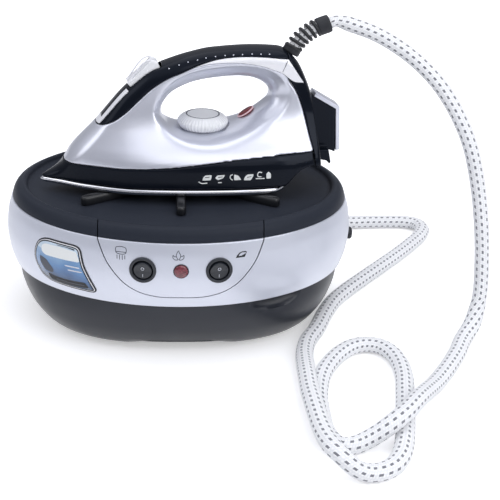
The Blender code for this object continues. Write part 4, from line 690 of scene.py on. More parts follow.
def makeLid(finish):
    low, rim, deck, wall = base["bandHigh"] + 0.3 * mm, base["rim"], base["deck"], lid["wall"]
    length = 150 * mm  # about half the lid's own, so that the curve through these corners is even
    corners = ((0.962, low), (0.961, low + 1.2 * mm), (0.9565, low + 4 * mm), (0.946, low + 7.6 * mm),
               (0.93, low + 10.4 * mm), (0.912, rim - 1 * mm), (0.9, rim), (0.89, rim - 0.4 * mm),
               (0.882, rim - 1.6 * mm), (0.876, deck + 1 * mm), (0.868, deck), (0.85, deck))
    line = smoothLine([Vector((share * length, 0, z)) for share, z in corners], 0.9 * mm)
    rings = [planRing(0.05, deck - wall), planRing(0.882, deck - wall, 2, wall), planRing(0.962, low, 2, wall)]
    rings += [planRing(point.x / length, point.z) for point in line]
    rings += [planRing(share, deck) for share in (0.6, 0.3, 0.05)]
    whole = skin("deckLid", rings)
    carve(whole, turned("hole", ((neck["bore"], -20 * mm), (neck["bore"], 20 * mm)), (0, neck["y"], deck), (0, 0, 1)))
    segment = whole.copy()
    segment.data = whole.data.copy()
    segment.name = segment.data.name = "lidFrontSegment"
    bpy.context.scene.collection.objects.link(segment)
    carve(whole, segmentTool(lid["seam"]))
    carve(segment, segmentTool(-lid["seam"]), "INTERSECT")
    settle(whole, finish["lid"], "base", "deck_cover", 30)
    settle(segment, finish["lid"], "base", "front_segment", 30)
    # soft ribs that carry the iron, and the feet
    settleCopies(finish, "base", [(f"rest_rib_{n}", f"restRib{n}", "rib", 1.4) for n in range(1, 6)], 3, 50)
    settleCopies(finish, "base", [(f"foot_{n}", f"rubberFoot{n}", "rubber", 0.5) for n in range(1, 5)])
    print("lid and ribs made")


# controls on the base: two round rockers, a lamp, printed signs and a badge
switch = {"x": 33.4 * mm, "z": 96 * mm, "rim": 12 * mm, "bore": 9.2 * mm, "seat": -0.9 * mm, "thick": 2.5 * mm,
          "hole": 10.3 * mm, "edge": 0.8 * mm, "tilt": 9 * degree, "key": 8.6 * mm, "sink": 3.4 * mm, "ink": 0.26 * mm}
readyLamp = {"radius": 6.2 * mm, "rise": 2.4 * mm, "hole": 6.5 * mm,
             "rim": ((6.2, 0.1), (6.9, 0.1), (6.9, 0.5), (6.6, 0.75), (6.25, 0.6))}


def bezelProfile():
    rim, bore, seat, edge = (switch[key] for key in ("rim", "bore", "seat", "edge"))
    face = seat + switch["thick"]
    rolled = [(rim - edge * (1 - math.cos(a)), face - edge + edge * math.sin(a)) for a in sweep(0, math.pi / 2, 4)]
    return [(rim, seat), *rolled, (bore + 0.9 * mm, face), (bore + 0.25 * mm, face - 0.25 * mm),
            (bore, face - 0.9 * mm), (bore, -12 * mm), (10 * mm, -12 * mm), (10 * mm, seat)]


def makeSwitches(finish):
    sink, reach = switch["sink"], switch["key"]
    for side, name in ((-1, "boiler"), (1, "iron")):
        at, out = bandFront(side * switch["x"], switch["z"])
        bezel = turned(name + "SwitchBezel", bezelProfile(), at, out, 72, wrap=True)
        settle(bezel, finish["switch"], "base", name + "_switch_bezel", 50)
        settleCopies(finish, name + "_key", [(name + "_rocker", name + "RockerKey", "switch", 0.35)], 3, 50, 25)
        # the O and I marks, printed on the key's two faces
        across = Vector((0, 0, 1)).cross(out)
        middle = at + out * (switch["seat"] + switch["thick"] - sink)
        tilt = Matrix.Rotation(switch["tilt"], 3, across)
        dip = math.tan(switch["tilt"]) * reach

        def onKey(x, z):
            rise = sink - dip / 2 + abs(z) / reach * dip + 0.04 * mm
            return middle + tilt @ (across * x + Vector((0, 0, z)) + out * rise)

        ring = [onKey(1.25 * mm * c, 2.3 * mm + 1.5 * mm * s) for c, s in circle(20)]
        bar = [onKey(0, z) for z in sweep(-3.2 * mm, -5.8 * mm, 4)]
        for mark, line in (("SwitchOff", ring), ("SwitchOn", bar)):
            tube = tubeAlong(name + mark, line, switch["ink"], 8, line is ring)
            settle(tube, finish["inkPale"], name + "_key", (), 60)
    at, out = bandFront(0, switch["z"])
    radius, rise = readyLamp["radius"], readyLamp["rise"]
    dome = [(radius, -8 * mm), (radius, 0.2 * mm)]
    dome += [(radius * math.cos(a), 0.3 * mm + rise * math.sin(a)) for a in sweep(0, math.pi / 2, 10)[1:-1]]
    settle(turned("readyLampLens", dome, at, out, 64), finish["lamp"], "base", "ready_lamp", 50)
    rim = turned("readyLampRim", [(size * mm, up * mm) for size, up in readyLamp["rim"]], at, out, 64, wrap=True)
    settle(rim, finish["switch"], "base", (), 40)
    print("switches and lamp made")


panelSigns = {  # millimetres from each sign's middle
    "boilerSign": {"x": -52.3, "z": 110.6, "lines": [
        [(-4.5, 0.3), (4.5, 0.3)],
        [(-4.5, 0.3), (-4.6, 3), (-4.1, 4.1), (-3, 4.5), (3, 4.5), (4.1, 4.1), (4.6, 3), (4.5, 0.3), (4.1, -0.7),
         (3.2, -1.1), (-3.2, -1.1), (-4.1, -0.7), (-4.5, 0.3)],
        *([(x, -2.4), (x, low)] for x, low in ((-3.4, -6), (-1.2, -6.6), (1.2, -6.6), (3.4, -6)))]},
    "steamSign": {"x": -2.4, "z": 109.9, "lines": [
        [(-0.2, -3.2), (-1.3, -1.2), (-1.9, 0.9), (-1.3, 2.7), (0.2, 4.9), (0.7, 3.2), (1.8, 1.4), (1.7, -1),
         (0.3, -3.2)],
        [(-0.7, -3.3), (-3.3, -2.9), (-4.7, -1.4), (-4.6, 1), (-3.6, -0.2), (-1.9, -0.3)],
        [(0.8, -3.3), (3.3, -2.9), (4.7, -1.4), (4.6, 1), (3.6, 0.2), (1.9, -0.2)]]},
}
ironSign = {"x": 52.6, "z": 109.2, "shape": [(-4.9, -2.9), (3.2, -2.6), (4.9, 1.7), (4.2, 2.5), (0.4, 2.5), (-1.8, 1.5),
                                            (-3.8, -0.7)], "slot": [(-1.7, 0.1), (3.9, 0.4), (4.1, 1.4), (0.6, 1.6)]}


def joinPieces(pieces, name):
    pick(*pieces)
    bpy.ops.object.join()
    joined = bpy.context.object
    joined.name = joined.data.name = name
    return joined


def strokes(name, lines, placeOn, wide, thick):  # several strokes as one printed sign
    made = []
    for line in lines:
        points = [Vector(point) for point in line]
        rings = []
        for index, point in enumerate(points):  # one ring across the stroke at each of its points
            run = wayAt(points, index)
            side = Vector((-run.y, run.x)).normalized() * wide / 2
            left, right = point + side, point - side
            rings.append([placeOn(*spot, out) for spot, out in ((left, -thick), (left, thick), (right, thick),
                                                                (right, -thick))])
        made.append(skin(name, rings))
    return joinPieces(made, name)


def makeSigns(finish):
    def onPanel(x, z, out):
        return bandFront(x * mm, z * mm, panel["proud"] + out)[0]

    for name, sign in panelSigns.items():
        lines = []
        for line in sign["lines"]:
            line = [(sign["x"] + x, sign["z"] + z) for x, z in line]
            if len(line) > 2:
                curve = smoothLine([Vector((x * mm, 0, z * mm)) for x, z in line], 0.6 * mm)
                line = [(point.x / mm, point.z / mm) for point in curve]
            lines.append(line)
        settle(strokes(name, lines, onPanel, 0.62, 0.1 * mm), finish["inkDarkAndHighlight"], "base", (), 60)
    for name, shape, thick, key, slotName in (("ironSign", "shape", 0.1 * mm, "inkBlack", "switch_black"),
                                              ("ironSignSlot", "slot", 0.16 * mm, "silver", "silver_paint")):
        spots = [(ironSign["x"] + x, ironSign["z"] + z) for x, z in ironSign[shape]]
        rings = [[onPanel(x, z, out) for x, z in spots] for out in (-thick, thick)]
        settle(skin(name, rings), finish[key], "base", (), 60)


# plan angle in degrees and share of the band's height, right round the plate
badgeOutline = ((-138.2, 0.807), (-140.4, 0.761), (-141.8, 0.688), (-142.6, 0.584), (-142.8, 0.47), (-142.2, 0.362),
                (-140.9, 0.262), (-139, 0.187), (-135.8, 0.142), (-131, 0.13), (-119.9, 0.124), (-118, 0.129),
                (-117, 0.177), (-117.4, 0.216), (-118.5, 0.316), (-120, 0.458), (-120.9, 0.546), (-121.7, 0.661),
                (-122.4, 0.776), (-123.5, 0.818), (-125.3, 0.831), (-131, 0.829), (-135.6, 0.825))
badgePatches = {
    "badgePaleStrip": ("inkWhite", ((-138.2, 0.717), (-136.7, 0.735), (-130.8, 0.752), (-124, 0.735), (-123, 0.66),
                                    (-122.5, 0.59), (-127, 0.58), (-132.2, 0.571), (-136.9, 0.562), (-138.7, 0.603),
                                    (-138.9, 0.678))),
    "badgeDarkStrip": ("inkBlack", ((-132.4, 0.772), (-128, 0.778), (-124.6, 0.776), (-124.2, 0.75), (-128, 0.768),
                                    (-132, 0.764))),
    "badgeLowStrip": ("inkBlack", ((-136.2, 0.285), (-133, 0.262), (-127, 0.262), (-120.9, 0.28), (-119.6, 0.192),
                                   (-124, 0.182), (-131.5, 0.182), (-135.6, 0.2))),
    "badgeRayHigh": ("inkPale", ((-128.5, 0.5), (-122.4, 0.512), (-122.2, 0.492), (-128.5, 0.48))),
    "badgeRayLow": ("inkPale", ((-127.4, 0.44), (-121.6, 0.452), (-121.4, 0.432), (-127.4, 0.42))),
    "badgeShadeLeft": ("inkDarkAndHighlight", ((-139.6, 0.53), (-136.4, 0.5), (-133.2, 0.36), (-134, 0.3), (-137.4, 0.31),
                                   (-139.4, 0.42))),
    "badgeGreyLine": ("inkDarkAndHighlight", ((-133, 0.232), (-127, 0.228), (-121, 0.238), (-120.8, 0.222), (-127, 0.212),
                                  (-133, 0.216)))}


def badgeLine(points, shrink):  # an outline on the band in plan angle and height, drawn in by a distance
    reach = 140 * mm  # about how far a radian is, along the band there
    points = [Vector((math.radians(turn) * reach, 0, base["bandLow"] + share * (base["bandHigh"] - base["bandLow"])))
              for turn, share in points]
    return [(point.x / reach, point.z) for point in grown(roundedLine(points, 0.9 * mm, 4), -shrink)]


def badgePlate(name, points, shrink, low, high, finish, replaced=()):
    line = badgeLine(points, shrink)
    middle = (sum(a for a, z in line) / len(line), sum(z for a, z in line) / len(line))
    rings = []
    for level, inward in ((low, 0.0), (high - 0.1 * mm, 0.0), (high, 0.004), (high, 0.35), (high, 0.7), (high, 0.97)):
        rings.append([bandPlace(a + (middle[0] - a) * inward, z + (middle[1] - z) * inward, level)[0]
                      for a, z in line])
    return settle(skin(name, rings), finish, "base", replaced, 50)


def makeBadge(finish):  # layers of print: black border, silver line, black line, face, then its patches
    for name, shrink, low, key, slotName, replaced in (
            ("badgeBorder", 0, 0.2 * mm, "inkBlack", "switch_black", "badge"),
            ("badgeSilverLine", 1.25 * mm, 0.55 * mm, "pearl", "pearl_insert", ()),
            ("badgeInnerLine", 1.8 * mm, 0.65 * mm, "inkBlack", "switch_black", ()),
            ("badgeFace", 2.9 * mm, 0.75 * mm, "badge", "badge_blue", ())):
        badgePlate(name, badgeOutline, shrink, low, low + 0.4 * mm, finish[key], replaced)
    for name, (key, points) in badgePatches.items():
        level = 1.35 * mm if name == "badgeGreyLine" else 1.2 * mm
        badgePlate(name, points, 0, 0.95 * mm, level, finish[key])
    print("signs and badge made")


def makeBoiler(finish):  # inside the base: seen only if it is opened
    settleCopies(finish, "base", (
        ("boiler_tank", "boilerTankShell", "steel", 0.4), ("boiler_cradle", "tankCradle", "steel", 0.3),
        ("boiler_heater", "tankHeater", "casting", 0.5), ("filler_neck", "fillerNeckTube", "brass", 0.3),
        ("steam_valve_body", "steamValveBody", "brass", 0.5), ("valve_coil", "valveCoilWinding", "copper", 0.4),
        ("pressure_switch", "pressureSwitchCan", "switch", 0.4), ("mains_inlet", "mainsInletSleeve", "rubber", 0.5),
        ("hose_gland", "hoseGlandSleeve", "rubber", 0.8), ("hose_clip", "hoseClipLug", "rubber", 0.5)))
    settleCopies(finish, "base", (("steam_pipe", "steamPipeTube", "copper", 0),), angle=70)
    spring = settleCopies(finish, "base", (("valve_spring", "valveSpringTube", "steel", 0),), angle=70)
    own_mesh(spring)
    settleCopies(finish, "valve_core", (("valve_plunger", "valvePlungerCore", "steel", 0.3),))
    settleCopies(finish, "cap_seal", (("filler_seal", "fillerSealRing", "rubber", 0.3),))
    makeFillerCap(finish)
    print("boiler made")


def flutedRing(x, y, z, radius, grips, depth, count, power=1.0):  # a circle with hollows pressed into it
    ring = []
    for angle in sweep(0, 2 * math.pi, count)[:-1]:
        reach = radius * (1 - depth * (0.5 - 0.5 * math.cos(grips * angle)) ** power)
        ring.append(Vector((x + reach * math.cos(angle), y + reach * math.sin(angle), z)))
    return ring


fillerCap = {"radius": 17 * mm, "height": 17 * mm, "side": 12 * mm, "edge": 0.6 * mm, "grips": 10, "depth": 0.08,
             "plug": 8 * mm, "plugLength": 14 * mm}


def makeFillerCap(finish):
    radius, plug, side, edge = (fillerCap[key] for key in ("radius", "plug", "side", "edge"))
    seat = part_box("filler_cap")[1].z - fillerCap["height"]
    rows = [(plug, -fillerCap["plugLength"], 0), (plug, 0, 0), (radius - edge, 0, 1), (radius, edge, 1)]
    rows += [(radius * (1 - 0.02 * t), edge + t * (side - edge), 1) for t in (0.2, 0.4, 0.6, 0.8, 1)]
    rows += [(radius * (0.98 - 0.16 * (1 - math.cos(a))), side + 5 * mm * math.sin(a), 1 - a / 1.6)
             for a in sweep(0, math.pi / 2, 8)[1:]]
    rows += [(8 * mm, 17 * mm, 0), (6.5 * mm, 16.4 * mm, 0), (2 * mm, 16.2 * mm, 0)]
    rings = [flutedRing(0, neck["y"], seat + up, size, fillerCap["grips"], fluted * fillerCap["depth"], 160, 1.5)
             for size, up, fluted in rows]
    settle(skin("flutedFillerCap", rings), finish["lid"], "cap_knob", "filler_cap", 50)


# iron: black skirt, silver shell, black grip and rear cover, on a chrome sole. Its pieces are made
# in the iron's own frame, with X along it and its tip on the left, and then set down on the ribs
ironFrame = Matrix.Translation((0, -5 * mm, 137.6 * mm)) @ Matrix.Rotation(6.5 * degree, 4, "Z")
iron = {"tip": -132 * mm, "length": 277 * mm, "height": 127 * mm, "half": 52.5 * mm, "handle": 18 * mm,
        "nose": 0.35, "crown": 13.97 * mm, "wall": 2.8 * mm, "roof": 38.1 * mm, "roofCrown": 7 * mm,
        "gap": 0.3 * mm, "over": 12 * mm, "voxel": 0.72 * mm, "polish": 5}
planTable = ((0, 0.01), (0.018, 0.1), (0.063, 0.22), (0.13, 0.45), (0.18, 0.57), (0.29, 0.8), (0.44, 0.93),
             (0.51, 0.965), (0.66, 1), (0.77, 0.985), (0.85, 0.93), (0.9, 0.86), (0.94, 0.78))
flankTable = ((0, 1), (0.04, 0.985), (0.173, 0.94), (0.213, 0.9), (0.276, 0.77), (0.339, 0.6), (0.394, 0.46),
              (0.457, 0.32), (0.551, 0.18), (0.669, 0.08), (0.787, 0.02), (1, 0))
topTable = ((0.004, 0.05), (0.063, 0.134), (0.105, 0.268), (0.188, 0.457), (0.278, 0.685), (0.3, 0.73),
            (0.379, 0.86), (0.404, 0.88), (0.495, 0.945), (0.581, 0.984), (0.708, 1), (0.794, 0.992),
            (0.838, 0.961), (0.866, 0.89), (0.895, 0.772), (0.915, 0.654), (0.928, 0.472), (0.939, 0.268))
ironLines = {
    "seam": ((-0.05, 0.19), (0.072, 0.178), (0.126, 0.1795), (0.206, 0.179), (0.329, 0.183), (0.43, 0.197),
             (0.523, 0.2185), (0.62, 0.241), (0.704, 0.2555), (0.79, 0.267), (0.9085, 0.275)),
    "arch": ((-0.05, 0.041), (0.6, 0.041), (0.795, 0.041), (0.812, 0.05), (0.829, 0.085), (0.845, 0.122),
             (0.862, 0.152), (0.896, 0.176), (0.911, 0.18)),
    "grip": ((0.115, 0.46), (0.18, 0.45), (0.202, 0.455), (0.223, 0.47), (0.25, 0.497), (0.283, 0.547),
             (0.333, 0.646), (0.366, 0.71), (0.399, 0.76), (0.431, 0.799), (0.464, 0.828), (0.516, 0.878),
             (0.585, 0.925), (0.645, 0.941), (0.729, 0.941), (0.809, 0.925), (0.827, 0.921)),
    "rearEdge": ((0.827, 0.945), (0.831, 0.772), (0.851, 0.707), (0.866, 0.638), (0.88, 0.552), (0.89, 0.468),
                 (0.901, 0.363), (0.912, 0.265), (0.918, 0.161)),
    "insertLow": ((0.517, 0.876), (0.552, 0.8945), (0.5953, 0.9035), (0.645, 0.905), (0.695, 0.8955),
                  (0.7355, 0.8785), (0.7695, 0.8545), (0.801, 0.829),
                  (0.854, 0.756), (0.881, 0.752)),
    "heel": ((0.9, 0.648), (0.9227, 0.628), (0.9481, 0.597), (1.0048, 0.524), (1.0138, 0.184), (0.9953, 0.2),
             (0.93, 0.22), (0.915, 0.3), (0.9, 0.44)),
    "toe": ((0.92, 0.235), (0.981, 0.232), (0.991, 0.13), (0.985, 0.12), (0.976, 0.145), (0.926, 0.17)),
    "button": ((0.2946, 0.7449), (0.3054, 0.7165), (0.4065, 0.8362), (0.3957, 0.8929), (0.3740, 0.9102)),
    "buttonWell": ((0.2671, 0.7717), (0.3061, 0.7055), (0.4173, 0.7984), (0.4058, 0.8898), (0.3863, 0.9843)),
    "strip": ((0.2094, 0.4614), (0.1661, 0.4614), (0.2671, 0.7500), (0.3045, 0.6830)),
    "relief": ((0.8430, 0.9409), (0.8556, 0.9882), (0.8798, 1.0496), (0.9188, 1.1102), (0.9729, 1.1559)),
}
holeInner = ((0.408, 0.551), (0.422, 0.618), (0.455, 0.684), (0.531, 0.748), (0.646, 0.776), (0.715, 0.762),
             (0.758, 0.714), (0.773, 0.661), (0.765, 0.598), (0.729, 0.535), (0.679, 0.465), (0.621, 0.413),
             (0.549, 0.394), (0.477, 0.402), (0.433, 0.441), (0.412, 0.496))
holeOuter = ((0.379, 0.567), (0.397, 0.655), (0.433, 0.75), (0.505, 0.836), (0.621, 0.878), (0.715, 0.87),
             (0.778, 0.83), (0.816, 0.765), (0.834, 0.685), (0.827, 0.614), (0.791, 0.52), (0.715, 0.425),
             (0.614, 0.346), (0.531, 0.335), (0.455, 0.378), (0.397, 0.472))
saddle = {"from": 0.36, "to": 0.855, "floor": 0.265, "fade": 0.03, "roll": 80, "lipTop": 0.5, "lipSide": 16 * mm,
          "melt": 260}
flareTable = ((-1.6, 1), (-1, 1), (-0.7, 0.45), (-0.35, 0.1), (0, 0), (0.35, 0.1), (0.7, 0.45), (1, 1), (1.6, 1))
sole = {"share": 0.8195, "middle": 0.55, "half": 55 * mm, "edge": 0.028, "thick": 5 * mm}
soleTable = ((0, 0), (0.008, 0.05), (0.03, 0.105), (0.078, 0.225), (0.15, 0.42), (0.22, 0.58), (0.357, 0.809),
             (0.45, 0.88), (0.537, 0.93), (0.67, 0.98), (0.802, 1), (0.9, 0.985), (0.955, 0.93), (0.985, 0.8),
             (1, 0.5), (1, 0))


def ironX(share):
    return iron["tip"] + share * iron["length"]


def ironShare(x):
    return (x - iron["tip"]) / iron["length"]


def ironSpots(shares, side=0.0):
    return [Vector((ironX(x), side, z * iron["height"])) for x, z in shares]


def ironLine(name, step=2.5 * mm):  # one of the iron's lines, smooth or, with no step, by its corners
    points = ironSpots(ironLines[name])
    return smoothLine(points, step) if step else points


def wideTool(line, near=None, far=None):  # an outline run across the iron
    reach = iron["half"] + iron["over"]
    near, far = -reach if near is None else near, reach if far is None else far
    return prism("region", [(p.x, p.z) for p in line], near, far)


def halfWidth(share, z):
    wide = iron["half"] * easedValue(planTable, share)
    narrow = min(iron["handle"], iron["nose"] * wide)
    return narrow + (wide - narrow) * easedValue(flankTable, z / iron["height"])


def hullNear(share, z):  # half the iron's width at a share of its length and a height, up to its crown
    top = easedValue(topTable, share) * iron["height"]
    crown = min(iron["crown"], top / 2)
    rise = min(max((z - top + crown) / crown, 0), 1)
    return halfWidth(share, z) * math.cos(math.asin(rise)) ** 0.8


def onHull(share, zShare, out=0.0):  # a point on the iron's near side, and the way out there
    def spot(s, h):
        return Vector((ironX(s), -hullNear(s, h * iron["height"]), h * iron["height"]))

    along = spot(share + 0.002, zShare) - spot(share - 0.002, zShare)
    up = spot(share, zShare + 0.004) - spot(share, zShare - 0.004)
    normal = along.cross(up).normalized()
    return spot(share, zShare) + normal * out, normal


def hullRing(share, inset=0.0, roof=None, sides=30, arc=18):
    top = easedValue(topTable, share) * iron["height"] if roof is None else roof
    crown = min(iron["crown"], top / 2) if roof is None else iron["roofCrown"] * roof / iron["roof"]
    side = [(halfWidth(share, z) - inset, z) for z in sweep(0, top - crown, sides)]
    edge = side[-1][0]
    for turn in sweep(0, math.pi / 2, arc)[1:-1]:
        z = top - crown + crown * math.sin(turn)
        width = halfWidth(share, z) - inset if roof is None else edge
        side.append((width * math.cos(turn) ** 0.8, z))
    x = ironX(share)
    side = [(max(width, 0.3 * mm), z) for width, z in side]
    return [Vector((x, -w, z)) for w, z in side] + [Vector((x, 0, top))] + [Vector((x, w, z)) for w, z in side[::-1]]


def hullSolid(name):
    return skin(name, [hullRing(share) for share in sweep(0.004, 0.939, 150)])


def hollow(first, last):  # the room inside the lower body
    rings = []
    for share in sweep(first, last, 24):
        roof = min(iron["roof"], 0.62 * easedValue(topTable, share) * iron["height"])
        ring = hullRing(share, iron["wall"], roof, 8, 6)
        rings.append([Vector((p.x, p.y, p.z if p.z > 0 else -iron["over"])) for p in ring])
    return skin("hollow", rings)


def roundRing(points, parts):  # a closed smooth ring with the same number of points between each two
    made = []
    for index in range(len(points)):
        before, here, after, last = (points[(index + k) % len(points)] for k in (-1, 0, 1, 2))
        made += [eased(here, after, (after - before) / 2, (last - here) / 2, part / parts) for part in range(parts)]
    return made


def fingerHole():  # tight in the middle and flared out to the body's own surface
    inner, outer = (roundRing(ironSpots(rim), 8) for rim in (holeInner, holeOuter))
    reach = [halfWidth(ironShare(p.x), p.z) for p in outer]
    rings = []
    for side in sweep(-1.6, 1.6, 64):
        share = easedValue(flareTable, side)
        rings.append([Vector((a.x + (b.x - a.x) * share, side * half, a.z + (b.z - a.z) * share))
                      for a, b, half in zip(inner, outer, reach)])
    return skin("fingerHole", rings)


def soleRing(shrink, z):
    length = iron["length"] * sole["share"]
    middle = iron["tip"] + length * sole["middle"]
    line = smoothLine([Vector((x * length, 0, y * sole["half"])) for x, y in soleTable], 1.5 * mm)
    right = [Vector((middle + (iron["tip"] + p.x - middle) * shrink, max(p.z, 0) * shrink, z)) for p in line[1:-1]]
    left = [Vector((p.x, -p.y, p.z)) for p in right[::-1]]
    tip = Vector((middle + (iron["tip"] - middle) * shrink, 0, z))
    return [tip] + right + left


def buttonWell():
    half = button["half"] + 2 * iron["gap"]
    return wideTool(ironLine("buttonWell", None), -half, half)


def switchPocket():  # room under the button for the steam switch and its pin
    low, high = ironLine("buttonWell", None)[1:3]
    slope = (high - low).normalized()
    inward = Vector((slope.z, 0, -slope.x))
    spot = low + (high - low) * 0.55
    rings = [[spot + slope * along * 6.3 * mm + Vector((0, side * 4.8 * mm, 0)) + inward * deep
              for along, side in ((-1, -1), (1, -1), (1, 1), (-1, 1))] for deep in (-9 * mm, 10 * mm)]
    return skin("switchPocket", rings)


def stripTool(grow):
    reach = 11.5 * mm + grow
    tool = wideTool(grown(ironLine("strip", None), grow), -reach, reach)
    reach = 6.5 * mm - grow
    low, high, floor = iron["tip"] + iron["length"] * 0.2076 + grow, -36 * mm, 49.6 * mm
    inside = [(low, floor), (high, floor), (high, iron["height"]), (low, iron["height"])]
    return carve(tool, prism("inside", inside, -reach, reach))


def setDown(piece, material, node, angle, body="iron"):  # from the iron's own frame onto the ribs
    piece.data.transform(ironFrame)
    return settle(piece, material, body, node, angle)


def finishMoulded(piece, material, node):  # rounds a carved piece's edges and sets it down
    mould(piece, iron["voxel"], iron["polish"])
    setDown(piece, material, node, 60)


def makeSole(finish):
    edge, half = sole["edge"], sole["thick"] / 2
    profile = [(1 - edge * (1 - math.sin(a)), half - half * math.cos(a)) for a in sweep(0, math.pi, 12)[1:-1]]
    profile = [(1 - edge, 0), *profile, (1 - edge, 2 * half)]
    plate = skin("chromeSole", [soleRing(shrink, z) for shrink, z in profile])
    setDown(plate, finish["chrome"], "soleplate", 50)


def makeSkirt(finish):
    arch = [Vector((p.x, 0, max(p.z, 5.3 * mm))) for p in ironLine("arch")]
    seam = ironLine("seam")
    skirt = carve(hullSolid("glossSkirt"), wideTool(arch + shifted(seam, -iron["gap"] / 2)[::-1]), "INTERSECT")
    carve(skirt, hollow(0.06, 0.8))
    finishMoulded(skirt, finish["gloss"], "skirt")


def makeShell(finish):
    gap = iron["gap"]
    low = shifted(ironLine("seam"), gap / 2)
    low[-1] = low[-1] - Vector((gap, 0, 0))
    grip = ironLine("grip")
    rear = [p for p in shifted(ironLine("rearEdge")[::-1], gap / 2) if low[-1].z < p.z < grip[-1].z]
    corner = Vector((iron["tip"] - iron["over"], 0, grip[0].z))
    region = low + rear + shifted(grip[::-1], gap / 2) + [corner]
    shell = carve(hullSolid("silverShell"), wideTool(region), "INTERSECT")
    carve(shell, fingerHole())
    mould(shell, iron["voxel"], 2)
    softenSaddle(shell)
    for side in (-1, 1):
        carve(shell, insertTool(side, gap / 2))
    well = dial["radius"] + 2 * iron["gap"]
    carve(shell, turned("well", ((well, 49.3 * mm), (well, 74.7 * mm)), (dial["x"], 0, 0), (0, 0, 1)))
    carve(shell, lensSolid("lensWell", ((gap, -4.3 * mm), (gap, 12 * mm))))
    carve(shell, buttonWell())
    carve(shell, switchPocket())
    carve(shell, hollow(0.14, 0.84))
    finishMoulded(shell, finish["shell"], "body_shell")


def smoothWhere(piece, weight, passes, name):  # smooths a part of a mesh, by a weight for each of its vertices
    group = piece.vertex_groups.new(name=name)
    for level in range(1, 9):
        chosen = np.nonzero((weight * 8).round() == level)[0]
        group.add(chosen.tolist(), level / 8, "REPLACE")
    change(piece, "SMOOTH", factor=0.5, iterations=passes, vertex_group=name)


def softenSaddle(shell):  # the lips of the finger hole are rolled, the seams round them stay crisp
    def fade(distance, width):
        return np.clip(distance / width, 0, 1)

    line = np.array([[p.x, p.z] for p in ironLine("grip")])
    places = np.zeros(len(shell.data.vertices) * 3)
    shell.data.vertices.foreach_get("co", places)
    x, y, z = places.reshape(-1, 3).T
    share, height = ironShare(x), z / iron["height"]
    below = np.interp(x, line[:, 0], line[:, 1]) - z
    weight = fade(share - saddle["from"], saddle["fade"]) * fade(saddle["to"] - share, saddle["fade"])
    weight *= fade(height - saddle["floor"], 0.05) * fade(below - 1 * mm, 4 * mm)
    smoothWhere(shell, weight, saddle["roll"], "saddle")
    # the lower lip melts into the flank
    weight *= fade(saddle["lipTop"] - height, 0.06) * fade(abs(y) - saddle["lipSide"], 8 * mm)
    smoothWhere(shell, weight, saddle["melt"], "lip")
    shell.vertex_groups.clear()


def insertTool(side, grow):
    upper = [p for p in ironLine("grip") if p.x > ironX(0.517)]
    line = grown(upper + ironLine("insertLow")[::-1], grow)
    inner, outer = side * (15 * mm - grow), side * (iron["handle"] + iron["over"])
    return wideTool(line, min(inner, outer), max(inner, outer))


def makeInserts(finish):
    sides = ((-1, "near"), (1, "far"))
    for side, name in sides:
        piece = carve(hullSolid(name + "PearlInsert"), insertTool(side, -iron["gap"] / 2), "INTERSECT")
        soften(piece, 0.35 * mm, 2, 40)
        setDown(piece, finish["pearl"], "handle_insert_" + name, 45)
    for side, name in sides:  # the seam between the insert's long part and its end piece
        line = ironSpots(((0.822, 0.915), (0.8125, 0.865), (0.806, 0.834)), side * 18.05 * mm)
        seam = tubeAlong(name + "InsertSeam", smoothLine(line, 1.5 * mm), 0.3 * mm, 8)
        setDown(seam, finish["inkDarkAndHighlight"], (), 60)


def makeGrip(finish):
    line = shifted(ironLine("grip"), iron["gap"] / 2)
    high = iron["height"] + iron["over"]
    region = line + [Vector((line[-1].x, 0, high)), Vector((line[0].x, 0, high))]
    grip = carve(hullSolid("glossGrip"), wideTool(region), "INTERSECT")
    for tool in (buttonWell(), switchPocket(), stripTool(iron["gap"] / 2), reliefSpace()):
        carve(grip, tool)
    finishMoulded(grip, finish["gloss"], "handle_grip")
    strip = carve(hullSolid("noseTrim"), stripTool(-iron["gap"] / 2), "INTERSECT")
    setDown(soften(strip, 0.3 * mm, 2, 40), finish["pearl"], "nose_strip", 45)


def makeRear(finish):
    back = shifted(ironLine("rearEdge"), iron["gap"] / 2)
    end, high = ironX(0.939) + iron["over"], iron["height"] + iron["over"]
    region = [Vector((back[0].x, 0, high)), *back, Vector((end, 0, back[-1].z)), Vector((end, 0, high))]
    cover = carve(hullSolid("glossRearCover"), wideTool(region), "INTERSECT")
    carve(cover, wideTool(ironLine("heel", None), -9 * mm, 9 * mm), "UNION")
    carve(cover, wideTool(ironLine("toe", None), -20 * mm, 20 * mm), "UNION")
    carve(cover, fingerHole())
    for side in (-1, 1):
        carve(cover, insertTool(side, iron["gap"] / 2))
    carve(cover, reliefSpace())
    finishMoulded(cover, finish["gloss"], "rear_cover")
    settleCopies(finish, "iron", (("heel_plate", "heelPlate", "shell", 0.5),), 3)


# heat dial: a fluted clear knob with a printed ring, in a well in the saddle
dial = {"x": iron["tip"] + iron["length"] * 0.5505, "floor": 49.6 * mm, "radius": 24 * mm, "height": 12.6 * mm,
        "grips": 44, "depth": 0.035, "ring": 14.7 * mm, "line": 1.2 * mm, "print": 0.12 * mm}
# share of the radius, share of the height, and how deep the grips are there
dialProfile = ((0.84, 0, 1), (0.9, 0.08, 1), (0.95, 0.2, 1), (0.985, 0.34, 1), (1, 0.46, 1), (0.985, 0.58, 1),
               (0.94, 0.7, 1), (0.87, 0.82, 0.8), (0.79, 0.92, 0.3), (0.73, 0.97, 0), (0.69, 0.995, 0), (0.66, 1, 0),
               (0.3, 1, 0))


